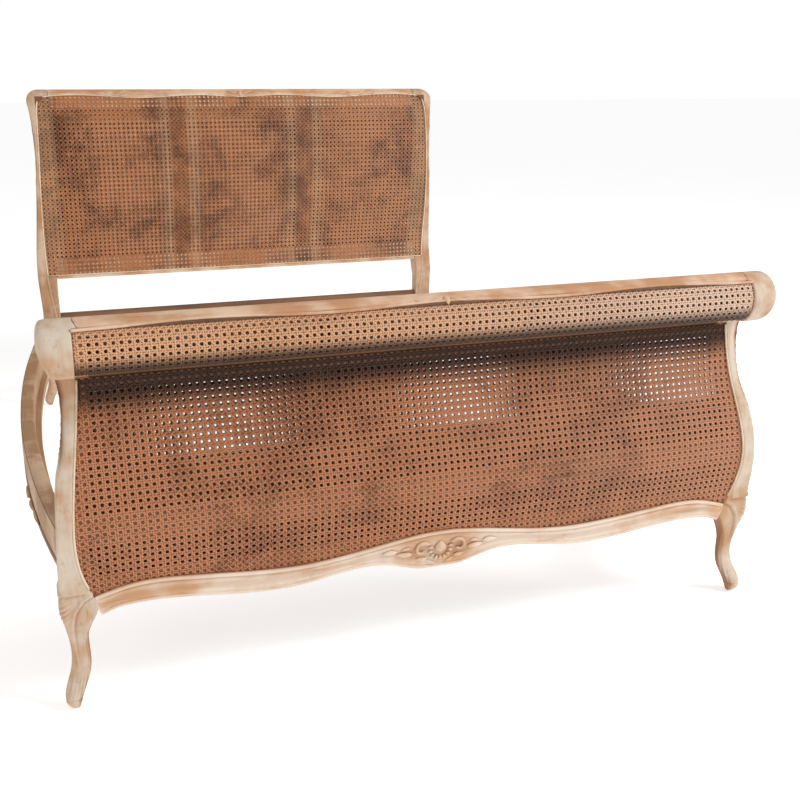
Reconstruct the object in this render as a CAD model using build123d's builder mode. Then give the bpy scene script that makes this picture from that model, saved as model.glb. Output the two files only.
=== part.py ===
from build123d import *
import os

os.makedirs("parts", exist_ok=True)

# Sleigh bed with double-caned ends, in millimetres.
# X runs across the bed, Y from the foot end to the head end, Z up from the floor.
# Both ends are S-shaped in side view: belly below, neck above it, then a roll or scroll.

# ---- driving dimensions: whole bed
half_width = 730.0        # bed centre line to the outside of a post at its belly
board_spacing = 2009.0    # foot board datum to head board datum, along Y
foot_height = 744.0       # floor to the top of the foot board's roll
head_height = 1100.0      # floor to the top of the head board
rail_bow = 78.0           # how far a side rail swells out past the posts

# ---- posts
post_width = 56.0         # across the bed, above the apron
leg_width = 36.0          # across the bed, half way up a leg
proud_edge = 30.0         # part of a post that stands proud beside the cane
roll_radius = 52.0        # foot board roll
scroll_radius = 38.0      # head board back scroll
foot_seat = 38.0          # back face of a foot post where the side rail lands
head_seat = -42.0         # front face of a head post where the side rail lands

# ---- cane and the recess it lies in
cane_thick = 3.0
cane_recess = 3.0         # cane face below the proud wood
spline_width = 4.0        # reed that locks the cane's edge
seat_gap = 0.2            # clearance between cane, reed and the wood behind

# ---- rails, heights above the floor
apron_top = 268.0
apron_depth = 28.0        # front to back
belly_rail_low = 335.0
belly_rail_high = 385.0
cross_rail_low = 232.0
cross_rail_high = 458.0
cross_rail_thick = 20.0
lip_rail_height = 62.0
lip_below_throat = 22.0
roll_wall = 16.0          # wood left at the top of the hollow roll
panel_rail_low = 466.0
panel_rail_high = 532.0
panel_bead = 475.0        # lower edge of the head board's cane
low_rail_low = 226.0
low_rail_high = 342.0
head_top_wood = 60.0      # depth of the head board's top rail below its crown
stile_centre = 220.0
stile_width = 52.0
rib_gap = 12.0            # air between the outer cane and a stile
former_thick = 18.0
tenon_length = 24.0
tenon_thick = 12.0

# ---- side rails and their fittings
rail_thick = 35.0
rail_end_low = 236.0
rail_end_high = 326.0
rail_mid_low = 200.0
rail_mid_high = 292.0
ledge_width = 14.0
ledge_height = 22.0
ledge_above_edge = 12.0   # ledge bottom over the rail's lower edge at mid length
plate_thick = 3.0
plate_width = 18.0
plate_height = 84.0
screw_head = 8.0
screw_length = 28.0
ledge_screw_pitch = 230.0

# ---- places that follow from them
rail_reach = half_width - 40.0    # inside every post, past its inner face
foot_out = roll_radius
head_out = 39.0           # how far a head post's back reaches past its datum
foot_y = -(board_spacing + foot_out + head_out) / 2 + foot_out
head_y = foot_y + board_spacing
roll_z = foot_height - roll_radius
throat_z = foot_height - 112.0
neck_z = foot_height - 152.0
scroll_z = head_height - scroll_radius
head_neck_z = head_height - 165.0
head_lip_z = head_height - 12.0
lip_rail_low = throat_z - lip_below_throat
lip_rail_high = lip_rail_low + lip_rail_height
seat_low = rail_end_low - 21.0
seat_high = rail_end_high + 108.0     # the flat seat runs on above the rail
far = 400.0               # longer than any board is deep
across = Plane.YZ.offset(-half_width - 200)     # side views are drawn here, left of the bed
across_length = 2 * half_width + 400
along = Plane.XZ.offset(-board_spacing)         # front views are drawn here, behind the bed
along_length = 2 * board_spacing


def foot_curve(shift):
    """Front of the foot board in side view, from the toe up to the throat under the roll."""
    side = [(-4, 0), (-13, 20), (-2, 46), (8, 82), (6, 125), (-6, 190), (-12, 240), (-28, 357)]
    side += [(-9, 440), (20, neck_z - 68), (31, neck_z), (33, throat_z)]
    return [(foot_y + y + shift, z) for y, z in side]


def foot_back_curve(shift):
    """Back of the foot board in side view, from the rail seat up and over the crest."""
    side = [(foot_seat, seat_high), (64, neck_z - 74), (77, neck_z + 8)]
    side += [(68, roll_z - 12), (44, roll_z + 34), (0, foot_height)]
    return [(foot_y + y + shift, z) for y, z in side]


def head_curve(shift):
    """Front of the head board in side view, from the rail seat up to the crown."""
    side = [(head_seat, seat_high), (-22, 512), (-54, 660), (-90, head_neck_z - 85)]
    side += [(-96, head_neck_z), (-80, head_height - 55), (-62, head_lip_z)]
    return [(head_y + y + shift, z) for y, z in side]


def head_back_curve(shift):
    """Back of the head board in side view, from the rail seat up to the back scroll."""
    side = [(8, seat_high - 30), (34, 512), (-6, 660), (-44, head_neck_z - 85), (-48, head_neck_z)]
    side += [(-36, head_height - 76)]
    return [(head_y + y + shift, z) for y, z in side]


def band(curve, near, far_side, low, high):
    """A strip that follows a side-view curve, between two shifts along Y and two heights."""
    with BuildSketch(across) as strip:
        with BuildLine():
            one = Spline(*curve(near))
            two = Spline(*curve(far_side))
            Line(one @ 0, two @ 0)
            Line(one @ 1, two @ 1)
        make_face()
        with Locations((0, (low + high) / 2)):
            Rectangle(8 * far + 2 * board_spacing, high - low, mode=Mode.INTERSECT)
    return strip.sketch


# Front-view outlines, as (distance from the centre line, height) up the outside of a post.
foot_outside = [(half_width + dx, z) for dx, z in [(3, 0), (13, 18), (3, 58), (-5, 95), (-3, 140)]]
foot_outside += [(half_width + 3, 190), (half_width, 357), (half_width - 7, 440)]
foot_outside += [(half_width - 22, neck_z - 70), (half_width - 25, neck_z)]
foot_outside += [(half_width - 14, throat_z + 22), (half_width + 2, roll_z + 16)]
foot_outside += [(half_width - 6, foot_height)]
foot_inside = [(half_width - 14, 0), (half_width - 21, 28), (half_width - leg_width - 1, 68)]
foot_inside += [(half_width - leg_width - 3, 120), (half_width - leg_width - 6, 157)]
foot_inside += [(half_width - post_width - 2, 194)]
post_inside = half_width - post_width
neck_inside = post_inside - 24
head_post_top = half_width - 92

head_outside = [(half_width + dx, z) for dx, z in [(3, 0), (13, 18), (3, 58), (-5, 95), (0, 190)]]
head_outside += [(half_width - 10, 330), (half_width - 5, 470), (half_width - 13, 605)]
head_outside += [(half_width - 29, 800), (half_width - 32, head_neck_z)]
head_outside += [(half_width - 25, head_height - 45)]

# Edge of the cane, as the same pairs.
foot_bead_side = [(half_width - 54, 226), (half_width - 32, 290), (half_width - proud_edge + 2, 357)]
foot_bead_side += [(half_width - 37, 450), (half_width - 52, neck_z - 30), (half_width - 58, throat_z - 4)]
head_bead_side = [(half_width - 37, panel_bead), (half_width - 35, 566), (half_width - 37, 700)]
head_bead_side += [(half_width - 43, head_neck_z - 85), (half_width - 51, head_height - 50)]

# Lower edge of the apron and of the cane above it, from the centre to the post.
# A wave point stands at a share of the half length, so the waves spread with the bed's width.
apron_half = half_width - 60
crown_half = half_width - 80
apron_edge = [(0, 176), (54, 183), (112, 200), (0.43 * apron_half, 186)]
apron_edge += [(0.63 * apron_half, 189), (0.865 * apron_half, 203), (apron_half, 191)]
bead_edge = [(0, 262), (112, 250), (0.43 * apron_half, 228), (0.58 * apron_half, 232)]
bead_edge += [(0.75 * apron_half, 243), (0.86 * apron_half, 247), (0.945 * apron_half, 239)]
crown_edge = [(0, head_height - 22), (0.2 * crown_half, head_height - 16)]
crown_edge += [(0.52 * crown_half, head_height - 24), (0.81 * crown_half, head_height - 15)]
crown_edge += [(crown_half, head_height - 20)]


def mirrored(points):
    """A half outline that starts on the centre line, made whole from left to right."""
    return [(-x, z) for x, z in reversed(points)] + points[1:]


def cane_opening(side, lower, upper, inset):
    """Front-view region that the cane fills: two post edges, a lower and an upper edge."""
    with BuildSketch(along) as region:
        with BuildLine():
            right = Spline(*[(x - inset, z) for x, z in side])
            left = Spline(*[(inset - x, z) for x, z in side])
            bottom = Spline(*mirrored([(x, z + inset) for x, z in lower]))
            top = Spline(*mirrored([(x, z - inset) for x, z in upper]))
            Line(bottom @ 1, right @ 0)
            Line(bottom @ 0, left @ 0)
            Line(top @ 1, right @ 1)
            Line(top @ 0, left @ 1)
        make_face()
    return region.sketch


throat_line = [(0, throat_z - 4), (half_width - 62, throat_z - 4)]
panel_line = [(0, panel_bead), (half_width - 41, panel_bead)]
foot_opening = cane_opening(foot_bead_side, bead_edge, throat_line, 0)
foot_reed_inside = cane_opening(foot_bead_side, bead_edge, throat_line, spline_width)
head_opening = cane_opening(head_bead_side, panel_line, crown_edge, 0)
head_reed_inside = cane_opening(head_bead_side, panel_line, crown_edge, spline_width)


def post_front_view(outside, inside, top_x, top_z, corner):
    """A right-hand post seen from the front, as a closed outline."""
    with BuildSketch(along) as view:
        with BuildLine():
            outer = Spline(*outside)
            inner = Spline(*inside)
            upright = Line(inner @ 1, (top_x, top_z))
            Line(outer @ 0, inner @ 0)
            if corner:
                shoulder = RadiusArc(outer @ 1, (half_width - 25 - corner, top_z), -corner)
                Line(shoulder @ 1, upright @ 1)
            else:
                Line(outer @ 1, upright @ 1)
        make_face()
    return view.sketch


foot_inside += [(post_inside, 300), (neck_inside, neck_z), (neck_inside, foot_height - 30)]
head_inside = [(half_width - 14, 0), (half_width - 21, 28), (half_width - leg_width - 1, 68)]
head_inside += [(half_width - leg_width - 3, 120), (half_width - 58, 190)]
head_inside += [(half_width - 67, 260), (half_width - 67, 440)]
head_inside += [(half_width - 90, 700), (half_width - 92, head_height - 60)]
foot_front_view = post_front_view(foot_outside, foot_inside, post_inside - 2, foot_height, 0)
head_front_view = post_front_view(head_outside, head_inside, head_post_top, head_height, 38.0)

# Side-view outline of a foot post, with its leg, S-curve and roll.
with BuildSketch(across) as foot_side_view:
    with BuildLine():
        front = Spline(*foot_curve(0))
        crest = Spline(*foot_back_curve(0))
        seat = Line(crest @ 0, (foot_y + foot_seat, seat_low))
        heel = Spline(seat @ 1, (foot_y + 33, 140), (foot_y + 29, 60), (foot_y + 18, 0))
        Line(front @ 0, heel @ 1)
        Polyline(front @ 1, (foot_y + 8, roll_z), crest @ 1)
    make_face()
    with Locations((foot_y, roll_z)):
        Circle(roll_radius)

# Side-view outline of a head post.
with BuildSketch(across) as head_side_view:
    with BuildLine():
        face = Spline(*head_curve(0))
        rear = Spline(*head_back_curve(0))
        face_seat = Line(face @ 0, (head_y + head_seat, seat_low))
        rear_seat = Line(rear @ 0, (head_y + 8, seat_low))
        shin = Spline(face_seat @ 1, (head_y - 30, 120), (head_y - 6, 46), (head_y + 14, 0))
        calf = Spline(rear_seat @ 1, (head_y + 14, 120), (head_y + 32, 46), (head_y + 39, 0))
        Line(shin @ 1, calf @ 1)
        Line(face @ 1, rear @ 1)
    make_face()
    with Locations((head_y - 36, scroll_z)):
        Circle(scroll_radius)



# ---- tenons: Y centre, lowest and highest Z, and where the rail's shoulder stands
tenons = {
    "apron": (foot_y + 12, 226, 256, post_inside),
    "cross": (foot_y + foot_seat - 10, 260, 400, post_inside),
    "lip": (foot_y + 52, throat_z + 4, throat_z + 30, neck_inside),
    "crest": (foot_y + 10, foot_height - 13, foot_height - 4, neck_inside),
    "low": (head_y - 17, low_rail_low + 14, low_rail_high - 14, half_width - 67),
    "panel": (head_y + 8, panel_rail_low + 12, panel_rail_high - 12, half_width - 70),
    "crown": (head_y - 40, head_height - 48, head_height - 16, head_post_top),
}
foot_joints = ["apron", "cross", "lip", "crest"]
head_joints = ["low", "panel", "crown"]


def tenon_bar(name):
    """The stubs at both ends of a rail, as one bar through its middle."""
    y, low, high, shoulder = tenons[name]
    with BuildPart() as bar:
        with Locations((0, y, (low + high) / 2)):
            Box(2 * (shoulder + tenon_length), tenon_thick, high - low)
    return bar.part


bars = {name: tenon_bar(name) for name in tenons}


def cross_section(side_view, half_length):
    """A side view carried across the bed to the same distance each side of its centre."""
    with BuildPart() as length:
        extrude(side_view, amount=across_length, dir=(1, 0, 0))
        Box(2 * half_length, 8 * board_spacing, 4 * head_height, mode=Mode.INTERSECT)
    return length.part


def board_piece(side_view, front_view):
    """A compound-curved piece: its side view and its front view cut from one block."""
    with BuildPart() as piece:
        extrude(side_view, amount=across_length, dir=(1, 0, 0))
        extrude(front_view, amount=along_length, dir=(0, -1, 0), mode=Mode.INTERSECT)
    return piece.part


def roll_sector(inner_radius, outer_radius, start, end):
    """Part of a ring about the roll's axis, between two angles in degrees from +Y."""
    middle = (start + end) / 2
    reach = 3 * outer_radius
    tips = [Vector(reach, 0).rotate(Axis.Z, angle) for angle in (start, middle, end)]
    corners = [(foot_y, roll_z)] + [(foot_y + tip.X, roll_z + tip.Y) for tip in tips]
    with BuildSketch(across) as ring:
        with BuildLine():
            Polyline(*corners, close=True)
        make_face()
        with Locations((foot_y, roll_z)):
            Circle(outer_radius, mode=Mode.INTERSECT)
            if inner_radius:
                Circle(inner_radius, mode=Mode.SUBTRACT)
    return ring.sketch


# ---- what the cane takes away from the wood around it
cane_back = cane_recess + cane_thick
cane_bed = cane_back + seat_gap
roll_from = 128.0         # the roll's cane starts under the crest's front bead
roll_to = 300.0           # and ends under the roll, on the lip rail
roll_cane_edge = half_width - 56.0
inner_cane_low = 434.0
inner_cane_high = throat_z + 20.0
inner_cane_edge = half_width - 58.0
head_cane_low = 504.0
head_cane_high = head_height - 80.0
head_back_edge = half_width - 68.0

foot_space = board_piece(band(foot_curve, -far, cane_bed, 200, throat_z - 4), foot_opening)
head_space = board_piece(band(head_curve, -far, cane_bed, panel_bead, head_lip_z - 2), head_opening)
inner_space = cross_section(
    band(foot_back_curve, -cane_bed, far, inner_cane_low, inner_cane_high), inner_cane_edge)
head_back_space = cross_section(
    band(head_back_curve, -cane_bed, far, head_cane_low, head_cane_high), head_back_edge)
roll_space = cross_section(
    roll_sector(roll_radius - cane_bed, roll_radius + 20, roll_from, roll_to), roll_cane_edge)

# ---- side rails in plan: the bow is one even curve from post to post
rail_start = foot_y + foot_seat
rail_end = head_y + head_seat
rail_length = rail_end - rail_start
rail_outer = half_width - 8.0


def rail_line(inset):
    """Plan line of a rail's face, inset from its outer face."""
    spots = [rail_start + rail_length * step / 12 for step in range(13)]
    return [(rail_face(y) - inset, y) for y in spots]


def rail_face(y):
    """Distance from the bed's centre line to a rail's outer face."""
    share = 2 * (y - rail_start) / rail_length - 1
    return rail_outer + rail_bow * (1 - share ** 2)


def rail_plan(near, far_side):
    """Plan region between two insets from the rail's outer face."""
    with BuildSketch(Plane.XY) as plan:
        with BuildLine():
            one = Spline(*rail_line(near))
            two = Spline(*rail_line(far_side))
            Line(one @ 0, two @ 0)
            Line(one @ 1, two @ 1)
        make_face()
    return plan.sketch


middle_y = (rail_start + rail_end) / 2
rail_top_half = [(0, rail_mid_high), (340, rail_mid_high + 8), (rail_length / 2 - 290, rail_mid_high + 14)]
rail_top_half += [(rail_length / 2, rail_end_high)]
rail_low_half = [(0, rail_mid_low + 8), (330, rail_mid_low - 2), (rail_length / 2 - 230, rail_mid_low + 20)]
rail_low_half += [(rail_length / 2, rail_end_low)]
with BuildSketch(across) as rail_side_view:
    with BuildLine():
        top_edge = Spline(*[(middle_y + y, z) for y, z in mirrored(rail_top_half)])
        low_edge = Spline(*[(middle_y + y, z) for y, z in mirrored(rail_low_half)])
        Line(top_edge @ 0, low_edge @ 0)
        Line(top_edge @ 1, low_edge @ 1)
    make_face()

# ---- bed fittings: a hook plate on each rail end drops into a slotted plate on the post
plate_x = rail_outer - rail_thick / 2
plate_z = (rail_end_low + rail_end_high) / 2
slot_pitch = 34.0
slot_width = 6.0
slot_height = 24.0
hook_thick = 4.0
hook_height = 12.0
pocket_depth = 14.0
rail_screw_pitch = 62.0
post_screw_pitch = 72.0
screw_shift = {rail_screw_pitch: -3.5, post_screw_pitch: 3.5}
screw_shank = 4.0
joint_faces = [(rail_start, -1), (rail_end, 1)]
slot_heights = [plate_z - slot_pitch / 2, plate_z + slot_pitch / 2]


def plate_screws_at(face_y, direction, pitch):
    """Countersunk screws driven along Y through one plate, heads flush with the plate."""
    with BuildPart() as pair:
        for height in (plate_z - pitch / 2, plate_z + pitch / 2):
            spot = Plane(origin=(plate_x + screw_shift[pitch], face_y, height), x_dir=(1, 0, 0),
                         z_dir=(0, direction, 0))
            with Locations(spot):
                Cone(screw_head / 2, screw_shank / 2, plate_thick,
                     align=(Align.CENTER, Align.CENTER, Align.MIN))
                Cylinder(screw_shank / 2, screw_length, align=(Align.CENTER, Align.CENTER, Align.MIN))
    return pair.part


def plate_at(face_y, direction):
    """A plate let into the wood behind a joint face, which lies towards direction."""
    with BuildPart() as plate:
        with Locations((plate_x, face_y + direction * plate_thick / 2, plate_z)):
            Box(plate_width, plate_thick, plate_height)
    return plate.part


def slots_at(face_y, direction, margin, depth):
    """The two slots of a plate, or the pockets behind them, wider by a margin all round."""
    with BuildPart() as holes:
        for height in slot_heights:
            with Locations((plate_x, face_y + direction * depth / 2, height)):
                Box(slot_width + 2 * margin, depth, slot_height + 2 * margin)
    return holes.part


def mirror_pair(right):
    """A right-hand piece and its left-hand twin, as separate solids in one node."""
    with BuildPart() as both:
        add(right)
        mirror(right, about=Plane.YZ)
    return both.part


# ================= side rails =================
# Ledge screws run outwards from the ledge's inner face into the rail.
ledge_top = rail_mid_low + ledge_above_edge + ledge_height
ledge_trim = 160.0
ledge_screw_shank = 5.0
ledge_screw_length = 40.0
ledge_screw_count = int((rail_length - 2 * ledge_trim - 160) // ledge_screw_pitch) + 1
with BuildPart() as ledge_screws_right:
    for index in range(ledge_screw_count):
        y = middle_y + (index - (ledge_screw_count - 1) / 2) * ledge_screw_pitch
        head_x = rail_face(y) - rail_thick - ledge_width + 1
        spot = Plane(origin=(head_x, y, ledge_top - ledge_height / 2), z_dir=(1, 0, 0))
        with Locations(spot):
            Cone(screw_head * 0.7, ledge_screw_shank / 2, 4,
                 align=(Align.CENTER, Align.CENTER, Align.MIN))
            Cylinder(ledge_screw_shank / 2, ledge_screw_length,
                     align=(Align.CENTER, Align.CENTER, Align.MIN))

with BuildPart() as side_rail_right:
    extrude(rail_plan(0, rail_thick), amount=head_height, dir=(0, 0, 1))
    extrude(rail_side_view.sketch, amount=across_length, dir=(1, 0, 0), mode=Mode.INTERSECT)
    for face_y, toward_post in joint_faces:
        add(plate_at(face_y, -toward_post), mode=Mode.SUBTRACT)
        add(plate_screws_at(face_y, -toward_post, rail_screw_pitch), mode=Mode.SUBTRACT)
    add(ledge_screws_right.part, mode=Mode.SUBTRACT)

with BuildPart() as base_ledge_right:
    extrude(rail_plan(rail_thick, rail_thick + ledge_width), amount=ledge_top, dir=(0, 0, 1))
    with Locations((0, middle_y, ledge_top - ledge_height / 2)):
        Box(across_length, rail_length - 2 * ledge_trim, ledge_height, mode=Mode.INTERSECT)
    add(ledge_screws_right.part, mode=Mode.SUBTRACT)

# Hook plates: the plate, and two hooks that pass through the slots and drop behind them.
hook_lip = 4.0
with BuildPart() as hook_plates_right:
    for face_y, toward_post in joint_faces:
        add(plate_at(face_y, -toward_post))
        for height in slot_heights:
            neck_reach = plate_thick + 1 + hook_lip
            with Locations((plate_x, face_y + toward_post * (neck_reach / 2 - 0.5), height + 3)):
                Box(hook_thick, neck_reach + 1, hook_height)
            with Locations((plate_x, face_y + toward_post * (plate_thick + 1 + hook_lip / 2),
                            height - 2)):
                Box(hook_thick, hook_lip, hook_height + 8)
        add(plate_screws_at(face_y, -toward_post, rail_screw_pitch), mode=Mode.SUBTRACT)

with BuildPart() as slot_plates_right:
    for face_y, toward_post in joint_faces:
        add(plate_at(face_y, toward_post))
        add(slots_at(face_y, toward_post, 0, plate_thick), mode=Mode.SUBTRACT)
        add(plate_screws_at(face_y, toward_post, post_screw_pitch), mode=Mode.SUBTRACT)

with BuildPart() as plate_screws_right:
    for face_y, toward_post in joint_faces:
        add(plate_screws_at(face_y, toward_post, post_screw_pitch))
        add(plate_screws_at(face_y, -toward_post, rail_screw_pitch))

# ================= foot board =================
foot_blank = board_piece(foot_side_view.sketch, foot_front_view)
with BuildPart() as foot_post_right:
    add(foot_blank)
    for space in (foot_space, roll_space, inner_space):
        add(space, mode=Mode.SUBTRACT)
    for name in foot_joints:
        add(bars[name], mode=Mode.SUBTRACT)
    add(plate_at(rail_start, -1), mode=Mode.SUBTRACT)
    add(slots_at(rail_start, -1, 1, pocket_depth), mode=Mode.SUBTRACT)
    add(plate_screws_at(rail_start, -1, post_screw_pitch), mode=Mode.SUBTRACT)
foot_blank_left = mirror(foot_blank, about=Plane.YZ)

# The crest rail: top and back of the roll, hollow towards the front.
with BuildPart() as foot_top_rail:
    extrude(foot_side_view.sketch, amount=across_length, dir=(1, 0, 0))
    with Locations((0, foot_y, lip_rail_high)):
        Box(across_length, 4 * far, foot_height, mode=Mode.INTERSECT,
            align=(Align.CENTER, Align.CENTER, Align.MIN))
    extrude(roll_sector(0, roll_radius - roll_wall, 0, 180), amount=across_length, dir=(1, 0, 0),
            mode=Mode.SUBTRACT)
    extrude(roll_sector(0, roll_radius - roll_wall, 180, 360), amount=across_length, dir=(1, 0, 0),
            mode=Mode.SUBTRACT)
    extrude(roll_sector(0, roll_radius + 20, roll_from + 14, roll_to), amount=across_length,
            dir=(1, 0, 0), mode=Mode.SUBTRACT)
    for space in (roll_space, inner_space, foot_blank, foot_blank_left):
        add(space, mode=Mode.SUBTRACT)
    Box(2 * rail_reach, 8 * board_spacing, 4 * head_height, mode=Mode.INTERSECT)
    add(bars["crest"])

# The lip rail closes the throat: both canes and the roll's lower edge land on it.
with BuildPart() as foot_lip_rail:
    extrude(foot_side_view.sketch, amount=across_length, dir=(1, 0, 0))
    with Locations((0, foot_y + 12, lip_rail_low)):
        Box(across_length, far, lip_rail_height, mode=Mode.INTERSECT,
            align=(Align.CENTER, Align.MIN, Align.MIN))
    for space in (roll_space, inner_space, foot_space, foot_blank, foot_blank_left):
        add(space, mode=Mode.SUBTRACT)
    Box(2 * rail_reach, 8 * board_spacing, 4 * head_height, mode=Mode.INTERSECT)
    add(bars["lip"])

# Half-round formers hold the roll's cane out between the crest and the lip rail.
former_radius = roll_radius - cane_bed - 1.8
with BuildPart() as foot_roll_formers:
    for centre in (-stile_centre, stile_centre):
        plane = Plane.YZ.offset(centre - former_thick / 2)
        with BuildSketch(plane):
            with Locations((foot_y, roll_z)):
                Circle(former_radius)
        extrude(amount=former_thick)
    add(foot_top_rail.part, mode=Mode.SUBTRACT)
    add(foot_lip_rail.part, mode=Mode.SUBTRACT)

with BuildSketch(along) as apron_front_view:
    with BuildLine():
        edge = Spline(*mirrored(apron_edge))
        Polyline(edge @ 1, (half_width - 20, apron_edge[-1][1]), (half_width - 20, apron_top),
                 (20 - half_width, apron_top), (20 - half_width, apron_edge[-1][1]), edge @ 0)
    make_face()
with BuildPart() as foot_apron:
    add(board_piece(band(foot_curve, 0, apron_depth, 180, apron_top), apron_front_view.sketch))
    for space in (foot_space, foot_blank, foot_blank_left):
        add(space, mode=Mode.SUBTRACT)
    add(bars["apron"])

# The belly rail backs the outer cane where the board swells most.
with BuildPart() as foot_belly_rail:
    extrude(band(foot_curve, cane_bed, 60, belly_rail_low, belly_rail_high),
            amount=across_length, dir=(1, 0, 0))
    back_y = foot_y + foot_seat - cross_rail_thick
    with Locations((0, back_y, 0)):
        Box(across_length, far, head_height, mode=Mode.INTERSECT,
            align=(Align.CENTER, Align.MAX, Align.MIN))
    for space in (foot_blank, foot_blank_left):
        add(space, mode=Mode.SUBTRACT)
    Box(2 * rail_reach, 8 * board_spacing, 4 * head_height, mode=Mode.INTERSECT)

# The cross rail is the wide board along the inside, under the inner cane.
with BuildPart() as foot_cross_rail:
    extrude(foot_side_view.sketch, amount=across_length, dir=(1, 0, 0))
    with Locations((0, foot_y + foot_seat - cross_rail_thick, cross_rail_low)):
        Box(across_length, far, cross_rail_high - cross_rail_low, mode=Mode.INTERSECT,
            align=(Align.CENTER, Align.MIN, Align.MIN))
    for space in (inner_space, foot_blank, foot_blank_left):
        add(space, mode=Mode.SUBTRACT)
    Box(2 * rail_reach, 8 * board_spacing, 4 * head_height, mode=Mode.INTERSECT)
    add(bars["cross"])

# Stiles stand on the cross rail and carry the lip rail.
with BuildPart() as foot_stile_right:
    low, high = cross_rail_high, lip_rail_low
    extrude(band(foot_curve, cane_back + rib_gap, far, low, high), amount=across_length,
            dir=(1, 0, 0))
    extrude(band(foot_back_curve, -far, -cane_bed, low, high), amount=across_length,
            dir=(1, 0, 0), mode=Mode.INTERSECT)
    with Locations((stile_centre, 0, 0)):
        Box(stile_width, 8 * board_spacing, 4 * head_height, mode=Mode.INTERSECT)


def cane_sheet(curve, near, far_side, low, high, opening):
    """A woven panel as one thin curved sheet."""
    return board_piece(band(curve, near, far_side, low, high), opening)


foot_outer_cane = cane_sheet(foot_curve, cane_recess, cane_back, 200, throat_z - 4, foot_opening)
head_front_cane = cane_sheet(head_curve, cane_recess, cane_back, panel_bead, head_lip_z - 2,
                             head_opening)
with BuildPart() as foot_inner_cane:
    add(cross_section(band(foot_back_curve, -cane_back, -cane_recess, inner_cane_low,
                           inner_cane_high), inner_cane_edge))
with BuildPart() as head_back_cane:
    add(cross_section(band(head_back_curve, -cane_back, -cane_recess, head_cane_low,
                           head_cane_high), head_back_edge))
with BuildPart() as foot_roll_cane:
    add(cross_section(roll_sector(roll_radius - cane_back, roll_radius - cane_recess, roll_from,
                                  roll_to), roll_cane_edge))


def reed(curve, low, high, opening, inside):
    """The reed round a panel's edge, pressed down on the cane inside its recess."""
    with BuildPart() as ring:
        add(board_piece(band(curve, 0.6, cane_recess - 0.1, low, high), opening))
        extrude(inside, amount=along_length, dir=(0, -1, 0), mode=Mode.SUBTRACT)
    return ring.part


foot_front_spline = reed(foot_curve, 200, throat_z - 4, foot_opening, foot_reed_inside)
head_front_spline = reed(head_curve, panel_bead, head_lip_z - 2, head_opening, head_reed_inside)


def back_reed(curve, low, high, edge):
    """The straight-edged reed of a panel on the inner side of a board."""
    with BuildPart() as ring:
        add(cross_section(band(curve, 0.1 - cane_recess, -0.6, low, high), edge))
        inner = (low + high) / 2
        with Locations((0, 0, inner)):
            Box(2 * (edge - spline_width), 8 * board_spacing, high - low - 2 * spline_width,
                mode=Mode.SUBTRACT)
    return ring.part


foot_back_spline = back_reed(foot_back_curve, inner_cane_low, inner_cane_high, inner_cane_edge)
head_back_spline = back_reed(head_back_curve, head_cane_low, head_cane_high, head_back_edge)
reed_turn = 5.0
with BuildPart() as foot_roll_splines:
    for start, end in ((roll_from, roll_from + reed_turn), (roll_to - reed_turn, roll_to)):
        add(cross_section(roll_sector(roll_radius - cane_recess + 0.1, roll_radius - 0.6, start,
                                      end), roll_cane_edge))

# ================= head board =================
head_blank = board_piece(head_side_view.sketch, head_front_view)
head_blank_left = mirror(head_blank, about=Plane.YZ)
with BuildPart() as head_post_right:
    add(head_blank)
    for space in (head_space, head_back_space):
        add(space, mode=Mode.SUBTRACT)
    for name in head_joints:
        add(bars[name], mode=Mode.SUBTRACT)
    add(plate_at(rail_end, 1), mode=Mode.SUBTRACT)
    add(slots_at(rail_end, 1, 1, pocket_depth), mode=Mode.SUBTRACT)
    add(plate_screws_at(rail_end, 1, post_screw_pitch), mode=Mode.SUBTRACT)

# The crown rail is rebated at its lower front, so the front cane stands clear of it.
with BuildPart() as head_top_rail:
    extrude(head_side_view.sketch, amount=across_length, dir=(1, 0, 0))
    with Locations((0, head_y, head_cane_high - 22)):
        Box(across_length, 4 * far, head_height, mode=Mode.INTERSECT,
            align=(Align.CENTER, Align.CENTER, Align.MIN))
    with Locations((0, head_y - 64, head_height - head_top_wood)):
        Box(across_length, far, head_height, mode=Mode.SUBTRACT,
            align=(Align.CENTER, Align.MAX, Align.MAX))
    for space in (head_space, head_back_space, head_blank, head_blank_left):
        add(space, mode=Mode.SUBTRACT)
    Box(2 * head_post_top + 8, 8 * board_spacing, 4 * head_height, mode=Mode.INTERSECT)
    add(bars["crown"])

with BuildPart() as head_panel_rail:
    extrude(head_side_view.sketch, amount=across_length, dir=(1, 0, 0))
    with Locations((0, head_y, panel_rail_low)):
        Box(across_length, 4 * far, panel_rail_high - panel_rail_low, mode=Mode.INTERSECT,
            align=(Align.CENTER, Align.CENTER, Align.MIN))
    for space in (head_space, head_back_space, head_blank, head_blank_left):
        add(space, mode=Mode.SUBTRACT)
    Box(2 * rail_reach, 8 * board_spacing, 4 * head_height, mode=Mode.INTERSECT)
    add(bars["panel"])

low_rail_thick = 28.0
with BuildPart() as head_low_rail:
    with Locations((0, head_y - 17, (low_rail_low + low_rail_high) / 2)):
        Box(2 * rail_reach, low_rail_thick, low_rail_high - low_rail_low)
    for space in (head_blank, head_blank_left):
        add(space, mode=Mode.SUBTRACT)
    add(bars["low"])

with BuildPart() as head_muntin_right:
    low, high = panel_rail_high, head_cane_high - 22
    extrude(band(head_curve, cane_bed, far, low, high), amount=across_length, dir=(1, 0, 0))
    extrude(band(head_back_curve, -far, -cane_bed, low, high), amount=across_length,
            dir=(1, 0, 0), mode=Mode.INTERSECT)
    with Locations((stile_centre, 0, 0)):
        Box(stile_width, 8 * board_spacing, 4 * head_height, mode=Mode.INTERSECT)

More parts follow.
